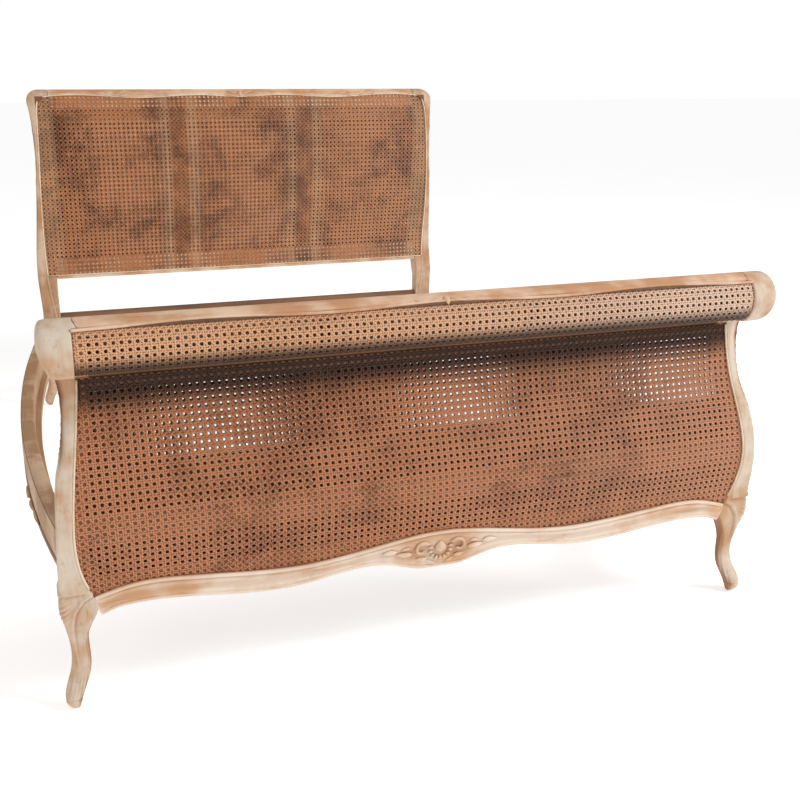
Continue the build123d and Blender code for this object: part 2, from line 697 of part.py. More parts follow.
# ================= written out =================
handed = {
    "foot_post": foot_post_right.part,
    "foot_stile": foot_stile_right.part,
    "head_post": head_post_right.part,
    "head_muntin": head_muntin_right.part,
    "side_rail": side_rail_right.part,
    "base_ledge": base_ledge_right.part,
}
whole = {
    "foot_top_rail": foot_top_rail.part,
    "foot_lip_rail": foot_lip_rail.part,
    "foot_roll_formers": foot_roll_formers.part,
    "foot_apron": foot_apron.part,
    "foot_belly_rail": foot_belly_rail.part,
    "foot_cross_rail": foot_cross_rail.part,
    "foot_roll_cane": foot_roll_cane.part,
    "foot_outer_cane": foot_outer_cane,
    "foot_inner_cane": foot_inner_cane.part,
    "foot_front_spline": foot_front_spline,
    "foot_back_spline": foot_back_spline,
    "foot_roll_splines": foot_roll_splines.part,
    "head_top_rail": head_top_rail.part,
    "head_panel_rail": head_panel_rail.part,
    "head_low_rail": head_low_rail.part,
    "head_front_cane": head_front_cane,
    "head_back_cane": head_back_cane.part,
    "head_front_spline": head_front_spline,
    "head_back_spline": head_back_spline,
    "rail_hook_plates": mirror_pair(hook_plates_right.part),
    "post_slot_plates": mirror_pair(slot_plates_right.part),
    "plate_screws": mirror_pair(plate_screws_right.part),
    "ledge_screws": mirror_pair(ledge_screws_right.part),
}
for name, shape in handed.items():
    whole[name + "_right"] = shape
    whole[name + "_left"] = mirror(shape, about=Plane.YZ)
for name, shape in whole.items():
    shape.label = name
    export_step(shape, "parts/" + name + ".step")
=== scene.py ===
"""A caned sleigh bed: carved limed beech boards with woven cane panels and bowed side rails.

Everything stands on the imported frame. Lengths are in metres, X runs across the bed, Y from the
foot end to the head end and Z up. Each section makes one piece or one group of like pieces.
"""
import math

import bpy
import numpy as np
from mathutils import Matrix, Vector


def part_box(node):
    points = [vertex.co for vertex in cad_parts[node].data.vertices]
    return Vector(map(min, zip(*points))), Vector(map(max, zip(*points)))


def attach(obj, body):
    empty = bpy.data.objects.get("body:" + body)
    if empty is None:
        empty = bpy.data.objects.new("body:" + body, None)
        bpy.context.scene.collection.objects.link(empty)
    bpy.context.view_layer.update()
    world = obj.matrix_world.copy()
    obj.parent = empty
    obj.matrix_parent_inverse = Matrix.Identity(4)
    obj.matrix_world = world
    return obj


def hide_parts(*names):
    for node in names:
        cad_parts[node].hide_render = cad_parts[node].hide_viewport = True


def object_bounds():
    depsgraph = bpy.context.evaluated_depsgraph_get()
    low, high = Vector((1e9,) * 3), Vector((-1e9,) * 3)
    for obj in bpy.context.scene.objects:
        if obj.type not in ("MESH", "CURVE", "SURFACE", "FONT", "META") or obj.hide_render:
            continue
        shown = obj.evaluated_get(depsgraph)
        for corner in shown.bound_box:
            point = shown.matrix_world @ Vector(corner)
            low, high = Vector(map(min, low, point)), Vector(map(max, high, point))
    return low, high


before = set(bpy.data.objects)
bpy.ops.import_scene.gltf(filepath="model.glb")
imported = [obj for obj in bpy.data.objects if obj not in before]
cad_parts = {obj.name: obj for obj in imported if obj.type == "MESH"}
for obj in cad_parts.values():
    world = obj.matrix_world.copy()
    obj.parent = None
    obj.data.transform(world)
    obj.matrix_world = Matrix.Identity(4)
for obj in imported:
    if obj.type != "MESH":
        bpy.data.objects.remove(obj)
cad_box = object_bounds()


# ---- The room -----------------------------------------------------------------------------
# A white studio: one matt floor, a wide soft light high on the right of the foot end, a weaker
# one on the left, and an even white surround that keeps the shadows open.
def link(item):
    """Puts a new object in the scene and returns it."""
    bpy.context.scene.collection.objects.link(item)
    return item


camera = link(bpy.data.objects.new("camera", bpy.data.cameras.new("camera")))
camera.data.sensor_width = 36.0
camera.data.lens = 46.88
camera.location = (-0.7077, -2.8053, 1.1254)
camera.rotation_euler = (math.radians(90 - 17.0045), 0.0, math.radians(-19.0687))
bpy.context.scene.camera = camera
bpy.context.scene.view_settings.view_transform = "Standard"


def soft_light(name, place, target, size, watts):
    """A square area light at place that faces target."""
    lamp = link(bpy.data.objects.new(name, bpy.data.lights.new(name, "AREA")))
    lamp.data.size = size
    lamp.data.energy = watts
    reach = np.subtract(target, place)
    lamp.location = place
    lamp.rotation_euler = (math.acos(-reach[2] / np.linalg.norm(reach)), 0.0,
                           math.atan2(reach[1], reach[0]) - math.pi / 2)


soft_light("key_light", (3.8, -2.7, 3.7), (0.0, -0.6, 0.5), 1.7, 165.0)
soft_light("fill_light", (-3.4, -2.6, 2.4), (0.0, 0.0, 0.5), 2.6, 12.0)
surround = bpy.data.worlds.new("surround")
surround.use_nodes = True
surround.node_tree.nodes["Background"].inputs["Color"].default_value = (1.0, 1.0, 1.0, 1.0)
bpy.context.scene.world = surround


class Wire:
    """A socket of a material's nodes: arithmetic on it adds Math nodes, node() any other."""

    def __init__(self, tree, socket=None):
        self.tree = tree
        self.socket = socket

    def node(self, kind, settings, inputs, out=0):
        """Adds a node: its settings first, then the value or wire of each named socket."""
        made = self.tree.nodes.new("ShaderNode" + kind)
        for name, value in settings.items():
            if name == "stops":
                ramp = made.color_ramp.elements
                while len(ramp) < len(value):
                    ramp.new(1.0)
                for stop, (place, colour) in zip(ramp, value):
                    stop.position = place
                    stop.color = colour
            else:
                setattr(made, name, value)
        for name, value in inputs.items():
            if isinstance(value, Wire):
                self.tree.links.new(value.socket, made.inputs[name])
            else:
                made.inputs[name].default_value = value
        return Wire(self.tree, made.outputs[out])

    def math(self, operation, *values):
        return self.node("Math", {"operation": operation}, dict(enumerate(values)))

    def __add__(self, other):
        return self.math("ADD", self, other)

    def __radd__(self, other):
        return self.math("ADD", other, self)

    def __sub__(self, other):
        return self.math("SUBTRACT", self, other)

    def __rsub__(self, other):
        return self.math("SUBTRACT", other, self)

    def __mul__(self, other):
        return self.math("MULTIPLY", self, other)

    def __rmul__(self, other):
        return self.math("MULTIPLY", other, self)

    def __abs__(self):
        return self.math("ABSOLUTE", self)

    def ramp(self, low, high):
        """0 below low, 1 above high and smooth between them."""
        return self.node("MapRange", {"interpolation_type": "SMOOTHSTEP"},
                         {"Value": self, "From Min": low, "From Max": high})

    def blend(self, first, second):
        """The colour first where this wire is 0 and second where it is 1."""
        return self.node("Mix", {"data_type": "RGBA"}, {0: self, 6: first, 7: second}, out=2)


def tint(code):
    """A six-digit colour code as the linear colour that a socket holds."""
    parts = [int(code[i:i + 2], 16) / 255 for i in (0, 2, 4)]
    return tuple(((c + 0.055) / 1.055) ** 2.4 if c > 0.04 else c / 12.92 for c in parts) + (1.0,)


def new_finish(name):
    """An empty material: the wire that makes its nodes, its shader and the object's places."""
    finish = bpy.data.materials.new(name)
    finish.use_nodes = True
    wire = Wire(finish.node_tree)
    coords = wire.node("TexCoord", {}, {}, out=3)
    return finish, wire, finish.node_tree.nodes["Principled BSDF"], coords


def noise(wire, coords, scale, detail, rough=0.55):
    """Fractal noise of that many cycles a metre on the coordinates, from 0 to 1."""
    return wire.node("TexNoise", {}, {"Vector": coords, "Scale": scale, "Detail": detail,
                                      "Roughness": rough})


def feed(wire, shader, name, value):
    """Links a wire to one of a shader's sockets."""
    wire.tree.links.new(value.socket, shader.inputs[name])


def bumped(wire, shader, height, distance, strength):
    """Sends a height through a Bump node to the shader's normal."""
    feed(wire, shader, "Normal", wire.node("Bump", {}, {
        "Height": height, "Distance": distance, "Strength": strength}))


# The surround lights the bed softly but is itself seen as plain white.
sky = Wire(surround.node_tree)
sky_strength = 0.56 + sky.node("LightPath", {}, {}, out=0) * 0.46
surround.node_tree.links.new(sky_strength.socket,
                             surround.node_tree.nodes["Background"].inputs["Strength"])


def plaster_floor():
    """Matt white floor with a faint cloudiness and a weak glow that keeps its shade pale."""
    finish, wire, shader, coords = new_finish("plaster_floor")
    cloud = noise(wire, coords, 1.5, 3.0)
    feed(wire, shader, "Base Color", cloud.blend(tint("F8F8F8"), tint("FFFFFF")))
    shader.inputs["Emission Color"].default_value = (1.0, 1.0, 1.0, 1.0)
    shader.inputs["Emission Strength"].default_value = 0.42
    shader.inputs["Roughness"].default_value = 0.95
    shader.inputs["Specular IOR Level"].default_value = 0.1
    return finish


def new_piece(name, points, polygons):
    """A new object in the scene from vertex places and faces, shaded smooth."""
    mesh = bpy.data.meshes.new(name)
    mesh.from_pydata(points, [], polygons)
    mesh.polygons.foreach_set("use_smooth", np.ones(len(polygons), bool))
    mesh.update()
    return link(bpy.data.objects.new(name, mesh))


floor_half = 60.0
floor = new_piece("floor", [(-floor_half, -floor_half, 0), (floor_half, -floor_half, 0),
                            (floor_half, floor_half, 0), (-floor_half, floor_half, 0)],
                  [(0, 1, 2, 3)])
floor.data.materials.append(plaster_floor())


# ---- Foot posts ---------------------------------------------------------------------------
# Each post is one piece of beech sawn to an S, with a cabriole leg below and the end of the
# roll above. It is carved with a leaf on the knee and the toe and a long hollow on the neck,
# then limed; its hollows are darkened with painted shade and its high places painted pale.
def along_grain(wire, coords, grain, across, along):
    """Coordinates scaled by across, or by along on the grain's axis, so noise draws to streaks."""
    scale = [along if axis == grain else across for axis in "XYZ"]
    return wire.node("Mapping", {}, {"Vector": coords, "Scale": scale})


def limed_wood(name, grain, pale, tan, brown, age=0.5):
    """Limed beech: fine streaks along the grain axis, clouds of lime, worn tan and dark pores.

    A painted shade attribute, from -1 on a ridge to 1 in a groove or where shade falls, darkens
    what is cut in or shaded and paints the ridges paler.
    """
    finish, wire, shader, coords = new_finish(name)
    fibre = along_grain(wire, coords, grain, 46.0, 2.4)
    streak = noise(wire, fibre, 1.0, 5.0, 0.6)
    pores = noise(wire, fibre, 5.2, 2.0, 0.5).ramp(0.60, 0.74)
    cloud = noise(wire, coords, 5.5, 4.0)
    patch = noise(wire, coords, 14.0, 3.0, 0.6)
    hollow = wire.node("Attribute", {"attribute_name": "hollow"}, {}, out=2)
    lime = (cloud * 0.62 + patch * 0.38).ramp(0.30, 0.66)
    worn = (1.0 - lime) * (0.35 + age) + (streak - 0.5) * 0.9
    base = worn.ramp(0.02, 0.78).blend(tint(pale), tint(tan))
    # Painted shade: grooves and shaded places go brown, and ridges are painted pale.
    groove = hollow.ramp(0.05, 0.9)
    ridge = (hollow * -1.0).ramp(0.1, 0.9) * 0.55
    base = ridge.blend(base, tint(pale))
    base = groove.blend(base, tint(brown))
    stain = noise(wire, coords, 9.0, 5.0, 0.7).ramp(0.60, 0.80) * 0.5
    base = (stain + pores * 0.3).blend(base, tint(brown))
    feed(wire, shader, "Base Color", base)
    feed(wire, shader, "Roughness", 0.50 + 0.22 * lime + 0.1 * streak)
    shader.inputs["Specular IOR Level"].default_value = 0.35
    bumped(wire, shader, streak * 0.6 + pores * -0.5 + patch * 0.3, 0.0012, 0.35)
    return finish


def points_of(mesh):
    """A mesh's vertex places and normals as two arrays."""
    count = len(mesh.vertices)
    places = np.empty(count * 3)
    normals = np.empty(count * 3)
    mesh.vertices.foreach_get("co", places)
    mesh.vertex_normals.foreach_get("vector", normals)
    return places.reshape(-1, 3), normals.reshape(-1, 3)


def mark(mesh, name, values):
    """Gives each vertex of a mesh its own number under a name."""
    layer = mesh.attributes.new(name, "FLOAT", "POINT")
    layer.data.foreach_set("value", values.astype(np.float32))


def move_points(mesh, places, hollow=None):
    """Writes vertex places back, with each vertex's painted shade: dark in hollows and shade, pale on
    ridges.
    """
    mesh.vertices.foreach_set("co", places.ravel())
    if hollow is not None:
        mark(mesh, "hollow", np.clip(hollow, -1, 1))
    mesh.update()


def eased_copy(node, voxel, passes):
    """A CAD piece as one even skin: merged, remeshed at voxel metres and its edges smoothed."""
    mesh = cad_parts[node].data.copy()
    mesh.materials.clear()
    piece = link(bpy.data.objects.new("shown_" + node, mesh))
    weld = piece.modifiers.new("weld", "WELD")
    weld.merge_threshold = 0.00002
    remesh = piece.modifiers.new("remesh", "REMESH")
    remesh.mode = "VOXEL"
    remesh.voxel_size = voxel
    smooth = piece.modifiers.new("smooth", "SMOOTH")
    smooth.factor = 0.5
    smooth.iterations = passes
    graph = bpy.context.evaluated_depsgraph_get()
    even = bpy.data.meshes.new_from_object(piece.evaluated_get(graph))
    piece.modifiers.clear()
    piece.data = even
    even.polygons.foreach_set("use_smooth", np.ones(len(even.polygons), bool))
    return piece


def settle(piece, finish, slot, *nodes):
    """Gives a piece its finish, lets it ride on the bed and hides the CAD nodes it stands for."""
    piece.data.materials.clear()
    piece.data.materials.append(finish)
    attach(piece, "root")
    if nodes:
        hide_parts(*nodes)


def slice_boxes(places, step, top):
    """The X and Y limits of a piece at every height: the extremes of the points in each slice."""
    levels = np.arange(0.0, top + step, step)
    slot = np.clip(np.rint(places[:, 2] / step).astype(int), 0, len(levels) - 1)
    limits = np.empty((4, len(levels)))
    for row, (axis, pick) in enumerate([(0, np.minimum), (0, np.maximum),
                                        (1, np.minimum), (1, np.maximum)]):
        limits[row] = np.inf if pick is np.minimum else -np.inf
        pick.at(limits[row], slot, places[:, axis])
        filled = np.isfinite(limits[row])
        limits[row] = np.interp(levels, levels[filled], limits[row][filled])
        limits[row] = np.convolve(np.pad(limits[row], 2, "edge"), np.ones(5) / 5, "valid")
    return levels, limits


def rounded_leg(places, top, power):
    """Draws the corners of each slice below top in to a superellipse of that power."""
    levels, limits = slice_boxes(places, 0.004, top + 0.05)
    x0, x1, y0, y1 = [np.interp(places[:, 2], levels, row) for row in limits]
    a = (places[:, 0] - (x0 + x1) / 2) / ((x1 - x0) / 2)
    b = (places[:, 1] - (y0 + y1) / 2) / ((y1 - y0) / 2)
    reach = np.maximum(np.abs(a), np.abs(b)) + 1e-9
    fade = np.clip((top - places[:, 2]) / 0.05, 0, 1)
    exponent = power + 14 * (1 - fade) ** 2
    pull = reach / (np.abs(a) ** exponent + np.abs(b) ** exponent) ** (1 / exponent)
    pull = np.where(fade > 0, pull, 1.0)
    toe = np.sqrt(np.clip(places[:, 2] / 0.016, 0, 1)) * 0.3 + 0.7
    shaped = places.copy()
    shaped[:, 0] = (x0 + x1) / 2 + a * pull * toe * (x1 - x0) / 2
    shaped[:, 1] = (y0 + y1) / 2 + b * pull * toe * (y1 - y0) / 2
    return np.where((fade > 0)[:, None], shaped, places)


def sawn_post(node, voxel):
    """A post with its leg rounded below the knee: the piece, its points and normals, and how
    far each point faces the foot end and the bed's outside, from 0 to 1."""
    post = eased_copy(node, voxel, 3)
    move_points(post.data, rounded_leg(points_of(post.data)[0], knee_top, leg_power))
    places, normals = points_of(post.data)
    outward = np.clip(normals[:, 0] * np.sign(places[:, 0]), 0, 1)
    return post, places, normals, np.clip(-normals[:, 1], 0, 1), outward


def near_line(x, z, line):
    """Signed distance from points to a polyline in the XZ plane, above or right of it positive."""
    line = np.asarray(line)
    best = np.full(x.shape, np.inf)
    signed = np.zeros(x.shape)
    for (x0, z0), (x1, z1) in zip(line[:-1], line[1:]):
        share = ((x - x0) * (x1 - x0) + (z - z0) * (z1 - z0)) / ((x1 - x0) ** 2 + (z1 - z0) ** 2)
        share = np.clip(share, 0, 1)
        dx = x - x0 - share * (x1 - x0)
        dz = z - z0 - share * (z1 - z0)
        gap = np.hypot(dx, dz)
        side = np.sign((x1 - x0) * dz - (z1 - z0) * dx)
        closer = gap < best
        best = np.where(closer, gap, best)
        signed = np.where(closer, gap * side, signed)
    return signed


def bell(distance, width):
    """A smooth bump: 1 at distance 0 and nearly 0 at twice the width."""
    return np.exp(-(distance / width) ** 2)


post_low, post_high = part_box("foot_post_left")
roll_radius = 0.052
roll_y = post_low.y + roll_radius
roll_z = post_high.z - roll_radius
half_width = 0.730
knee_top = 0.175
leg_power = 2.5
knee_bead = [(0.640, 0.237), (0.672, 0.231), (0.694, 0.217), (0.708, 0.196), (0.714, 0.170),
             (0.714, 0.130), (0.712, 0.095)]
post_finish = limed_wood("limed_post", "Z", "D4C4B1", "BC9068", "8A5836", 0.42)

for side in ("left", "right"):
    post, places, normals, front, outward = sawn_post("foot_post_" + side, 0.0021)
    x = np.abs(places[:, 0])
    y = places[:, 1] - roll_y
    z = places[:, 2]
    # Painted shade, built up below: darker where cut in or shaded, paler on the ridges.
    hollow = np.zeros(len(places))

    # The apron's bead turns down the knee and dies away on the shin.
    gap = near_line(x, z, knee_bead)
    low = np.clip((z - 0.08) / 0.06, 0, 1) * np.clip((x - 0.650) / 0.01, 0, 1)
    low = low * (z < 0.30) * front
    groove = bell(gap, 0.0016) * low
    bead = bell(gap - 0.0055, 0.0035) * low
    places += normals * (bead * 0.0024 - groove * 0.0022)[:, None]
    hollow += groove * 0.5 - bead * 0.5

    # A ledge and a leaf stand on the knee beside the bead.
    ledge = bell(z - 0.234, 0.0035) * (x > 0.694) * np.clip(front + outward, 0, 1)
    places += normals * (bell(z - 0.241, 0.006) * (x > 0.694) * 0.0030
                         - ledge * 0.0024)[:, None] * np.clip(front + outward, 0, 1)[:, None]
    hollow += ledge * 0.35
    leaf = np.clip((x - 0.716) / 0.012, 0, 1) * bell(z - 0.205, 0.024)
    veins = 0.5 + 0.5 * np.sin((z + 0.45 * (x - 0.70)) * 620)
    places += normals * (leaf * (0.0030 + 0.0018 * veins))[:, None]
    hollow += leaf * (0.55 - 1.1 * veins)

    # The toe has a small leaf above a plain cap.
    toe = bell(z - 0.045, 0.018) * np.clip(front + outward * 0.6, 0, 1)
    ribs = 0.5 + 0.5 * np.cos((x - 0.722) * 900 + (z - 0.045) * 260)
    cap = bell(z - 0.0215, 0.0022) * np.clip(front + outward, 0, 1)
    places += normals * (toe * 0.0016 * ribs - cap * 0.0012)[:, None]
    hollow += toe * (0.2 - 0.7 * ribs) + cap * 0.3

    # The neck's outer corner is scooped to a long cove under the roll, darkened by painted shade.
    cove = np.clip((z - 0.455) / 0.05, 0, 1) * np.clip((0.652 - z) / 0.03, 0, 1)
    corner = np.clip(front * outward * 2.2, 0, 1)
    outer = np.interp(z, [0.44, 0.60, 0.65], [0.722, 0.705, 0.712])
    band = bell(x - (outer - 0.002), 0.011) * cove * np.clip(front + outward, 0, 1)
    sink = np.maximum(corner * cove, band)
    places -= normals * (sink * 0.0052)[:, None]
    hollow += sink * 0.9

    # Painted shade darkens the wood behind the cane's edge and inside the roll, and the legs'
    # inner faces, which are turned away from the key light.
    cane_edge = np.interp(z, [0.226, 0.290, 0.357, 0.450, 0.562, 0.628],
                          [0.676, 0.698, 0.702, 0.693, 0.678, 0.672])
    covered = (x < cane_edge) & (front > 0.2) & (z > 0.226) & (z < 0.632)
    rolled = (x < 0.6735) & (np.hypot(y, z - roll_z) < 0.0496) & (z > 0.635)
    inner = np.clip(-normals[:, 0] * np.sign(places[:, 0]), 0, 1) * np.clip((0.21 - z) / 0.03, 0, 1)
    hollow += 1.3 * (covered | rolled) + 0.75 * inner

    # The roll's end is turned over to a soft edge.
    radius = np.hypot(y, z - roll_z)
    end = np.clip((x - (half_width - 0.016)) / 0.018, 0, 1) * (radius < 0.07) * (z > 0.63)
    shrink = 1 - 0.26 * (1 - np.sqrt(1 - np.minimum(end, 0.999) ** 2))
    places[:, 1] += y * (shrink - 1)
    places[:, 2] += (z - roll_z) * (shrink - 1)
    places[:, 2] = np.maximum(places[:, 2], 0.0)
    move_points(post.data, places, hollow)
    settle(post, post_finish, "limed_wood", "foot_post_" + side)


# ---- Apron --------------------------------------------------------------------------------
# The board under the outer cane, one shaped length of beech: a half-round bead against the
# cane, a plain face slightly hollowed, a thin raised lip along its waved lower edge, and a
# carved crest of a flower between scrolls and leaves at its middle.
def cut(node, axis, places):
    """Where planes across an axis cut a CAD piece: the lowest and highest corner of each cut.

    Every mesh edge that crosses a plane gives one point of it, by proportion along the edge.
    """
    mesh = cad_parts[node].data
    corners = np.empty(len(mesh.vertices) * 3)
    pairs = np.empty(len(mesh.edges) * 2, int)
    mesh.vertices.foreach_get("co", corners)
    mesh.edges.foreach_get("vertices", pairs)
    first, last = corners.reshape(-1, 3)[pairs.reshape(-1, 2)].transpose(1, 0, 2)
    limits = np.full((len(places), 2, 3), np.nan)
    for row, place in enumerate(places):
        crossing = (first[:, axis] - place) * (last[:, axis] - place) < 0
        if crossing.any():
            a, b = first[crossing], last[crossing]
            share = (place - a[:, axis]) / (b[:, axis] - a[:, axis])
            points = a + share[:, None] * (b - a)
            limits[row] = points.min(0), points.max(0)
    return limits


def evened(values, window):
    """A line of values with the gaps filled and the facets of the CAD mesh averaged out."""
    good = np.isfinite(values)
    steps = np.arange(len(values))
    filled = np.interp(steps, steps[good], values[good])
    padded = np.concatenate([2 * filled[0] - filled[window:0:-1], filled,
                             2 * filled[-1] - filled[-2:-window - 2:-1]])
    hat = np.hanning(2 * window + 3)[1:-1]
    return np.convolve(padded, hat / hat.sum(), "same")[window:-window]


def skin_faces(rings):
    """The outward faces over a grid of closed loops, with the first and last loop capped."""
    count, around, _ = rings.shape
    i, j = np.meshgrid(np.arange(count - 1), np.arange(around), indexing="ij")
    after = (j + 1) % around
    faces = np.stack([i * around + j, i * around + after,
                      (i + 1) * around + after, (i + 1) * around + j], -1).reshape(-1, 4)
    points = rings.reshape(-1, 3)
    a, b, c, d = [points[faces[:, n]] for n in range(4)]
    volume = (np.cross(a, b) * c).sum() + (np.cross(a, c) * d).sum()
    faces = faces if volume > 0 else faces[:, ::-1]
    start = list(range(around))
    finish = list(range((count - 1) * around, count * around))
    caps = [start[::-1], finish] if volume > 0 else [start, finish[::-1]]
    return faces.tolist() + caps


def skin(name, rings):
    """A closed piece over a grid: ring i is a closed loop round it."""
    return new_piece(name, rings.reshape(-1, 3), skin_faces(rings))


apron_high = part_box("foot_apron")[1]
cane_low, cane_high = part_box("foot_outer_cane")
heights = np.linspace(0.165, 0.640, 240)
board_front = evened(cut("foot_post_left", 2, heights)[:, 0, 1], 6)
apron_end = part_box("foot_lip_rail")[1].x
stations = np.linspace(-apron_end, apron_end, 541)
lower_edge = evened(cut("foot_apron", 0, stations)[:, 0, 2], 5)
end_dip = 0.011
lower_edge -= end_dip * np.clip((np.abs(stations) - 0.625) / 0.049, 0, 1) ** 2
bead_edge = evened(cut("foot_outer_cane", 0, stations)[:, 0, 2], 5)


def front_at(z):
    """Y of the foot board's front face at a height."""
    return np.interp(z, heights, board_front)


# Each row is a point of the apron's section, going down the front and up the back: how far it
# stands from the waved edges or the top, as (bead, lower edge, top) shares, rise and stand-out.
bead_tall = 0.0072
recess = 0.0062
apron_depth = 0.028
profile = [(0, 0, 1, -0.001, -recess), (0.5, 0, 0.5, 0, -recess), (1, 0, 0, 0.0005, -recess)]
profile += [(1, 0, 0, -bead_tall * (1 - math.cos(turn)) / 2, 0.0028 * math.sin(turn))
            for turn in np.linspace(0.0, math.pi, 9)]
profile += [(1, 0, 0, -bead_tall - 0.0006, -0.0016), (1, 0, 0, -bead_tall - 0.0018, -0.0014)]
profile += [(1 - share, share, 0, (1 - share) * (-bead_tall - 0.003) + share * 0.0070,
             -0.0003 - 0.0016 * math.sin(math.pi * share)) for share in np.linspace(0, 1, 7)]
profile += [(0, 1, 0, 0.0062, -0.0004)]
profile += [(0, 1, 0, 0.0030 + 0.0030 * math.cos(turn), 0.0020 * math.sin(turn) + 0.0004)
            for turn in np.linspace(0.2, math.pi * 0.9, 6)]
profile += [(0, 1, 0, 0.0, -0.004), (0, 1, 0, 0.0002, -apron_depth + 0.004)]
profile += [(0, 1, 0, 0.004, -apron_depth), (0.5, 0.5, 0, 0, -apron_depth)]
profile += [(0, 0, 1, -0.003, -apron_depth), (0, 0, 1, 0, -apron_depth + 0.002)]
profile = np.array(profile)
z = (profile[:, 0] * bead_edge[:, None] + profile[:, 1] * lower_edge[:, None]
     + profile[:, 2] * apron_high.z + profile[:, 3])
flush = np.clip((apron_end - np.abs(stations)) / 0.03, 0, 1)[:, None]
stand = np.where(profile[:, 4] > -0.003, profile[:, 4] * flush, profile[:, 4])
apron_rings = np.stack([np.broadcast_to(stations[:, None], z.shape), front_at(z) - stand, z], -1)
apron = skin("shown_foot_apron", apron_rings)
# Painted shade on the apron's section: darkest on the strip under the cane and on the back, paler on
# the bead and the lower lip.
apron_painted_shade = np.tile(np.select([profile[:, 4] < -0.004, profile[:, 4] > 0.0008,
                                  profile[:, 4] < -0.0012], [1.0, -0.7, 0.30], 0.1),
                       len(stations))
mark(apron.data, "hollow", apron_painted_shade)
apron_finish = limed_wood("limed_apron", "X", "E8D5C2", "CC9C72", "94603A", 0.34)
settle(apron, apron_finish, "limed_wood", "foot_apron")


lobe_sides = 10


def lobe(line, width, depth, surface):
    """A carved leaf, petal or scroll: a half-sunk rounded bar that tapers along a line.

    The line is points in the plane of the surface, width and depth its half-breadth and its
    stand-out at each of them, and surface(u, v, out) turns them into places.
    """
    line = np.asarray(line, float)
    along = np.gradient(line, axis=0)
    along /= np.linalg.norm(along, axis=1)[:, None]
    turn = np.linspace(0, 2 * math.pi, lobe_sides, endpoint=False)
    across = np.cos(turn)[None] * np.asarray(width)[:, None]
    out = np.sin(turn)[None] * np.asarray(depth)[:, None]
    out = np.where(out < 0, -0.0015, out)
    u = line[:, :1] - along[:, 1:] * across
    v = line[:, 1:] + along[:, :1] * across
    return surface(u, v, out)


def leaf_shape(root, angle, length, breadth, height, bend=0.0, steps=9):
    """A pointed leaf's line, half-breadths and stand-outs: breadth swells as a sine arch."""
    share = np.linspace(0, 1, steps)
    heading = angle + bend * share
    step = length / (steps - 1)
    line = np.stack([np.cumsum(np.cos(heading)), np.cumsum(np.sin(heading))], -1) * step
    swell = np.sin(math.pi * (0.04 + 0.92 * share) ** 0.8)
    return np.asarray(root) + line, breadth * swell, height * (0.25 + 0.75 * swell)


def scroll_shape(centre, radius, start, sweep, breadth, height, steps=16):
    """A C-scroll's line: an arc whose radius shrinks to a third, thick at its outer end."""
    share = np.linspace(0, 1, steps)
    turn = start + sweep * share
    reach = radius * (1 - 0.66 * share)
    line = np.stack([np.cos(turn), np.sin(turn)], -1) * reach[:, None]
    return (np.asarray(centre) + line, breadth * (1 - 0.45 * share),
            height * (0.7 + 0.3 * np.sin(math.pi * share)))


def mirrored_shape(shape):
    """The same carved shape on the other side of u = 0."""
    line, width, depth = shape
    return line * [-1, 1], width, depth


def carving(name, shapes, surface):
    """One mesh of carved shapes laid on a surface, their ridges painted pale and their sides painted
    with shade.
    """
    vertices, polygons, base = [], [], 0
    for line, width, depth in shapes:
        rings = lobe(line, width, depth, surface)
        vertices.append(rings.reshape(-1, 3))
        polygons += [[base + corner for corner in face] for face in skin_faces(rings)]
        base += len(vertices[-1])
    piece = new_piece(name, np.concatenate(vertices), polygons)
    ring = np.sin(np.linspace(0, 2 * math.pi, lobe_sides, endpoint=False))
    mark(piece.data, "hollow", np.tile(np.where(ring > 0.5, -0.5, 0.75), base // lobe_sides))
    return piece


def on_apron(u, v, out):
    """A place on the apron's face: u across, v the height, out towards the foot end."""
    return np.stack([u + 0 * out, front_at(v) + 0.001 - out, v + 0 * out], -1)


crest_z = 0.222
flower = [leaf_shape((0.0, crest_z - 0.010), math.pi / 2, 0.024, 0.0125, 0.0090)]
for turn in np.radians([-190, -165, -140, -115, -90, -65, -40, -15, 10]):
    root = (0.0155 * math.cos(turn), crest_z + 0.0155 * math.sin(turn))
    flower.append(leaf_shape(root, turn, 0.0110, 0.0036, 0.0058))
sprig = [scroll_shape((0.040, crest_z + 0.002), 0.0165, 2.4, -4.9, 0.0044, 0.0066)]
sprig += [leaf_shape((u, crest_z + rise), *sizes) for u, rise, *sizes in (
    (0.020, 0.010, 0.5, 0.020, 0.0040, 0.0045, -0.6),
    (0.026, -0.018, -0.3, 0.024, 0.0045, 0.0050, 0.7),
    (0.056, -0.004, -0.1, 0.034, 0.0062, 0.0058, 0.35),
    (0.062, 0.008, 0.1, 0.020, 0.0034, 0.0040, -0.4),
    (0.090, 0.004, 0.1, 0.030, 0.0056, 0.0052, -0.2),
    (0.004, -0.036, 0.25, 0.026, 0.0042, 0.0038, 0.5))]
crest_shapes = flower + sprig + [mirrored_shape(shape) for shape in sprig]
apron_crest = carving("apron_crest", crest_shapes, on_apron)
settle(apron_crest, apron_finish, "limed_wood")


# ---- Woven cane ---------------------------------------------------------------------------
# Six-way cane: pairs of upright and level strands and two slanting ways that cross between
# them, which leaves rows of eight-sided holes. It was stained brown long ago, and the stain
# has gone dark and cloudy in the middle of each bay and worn thin at the edges.
muntin_x = 0.22


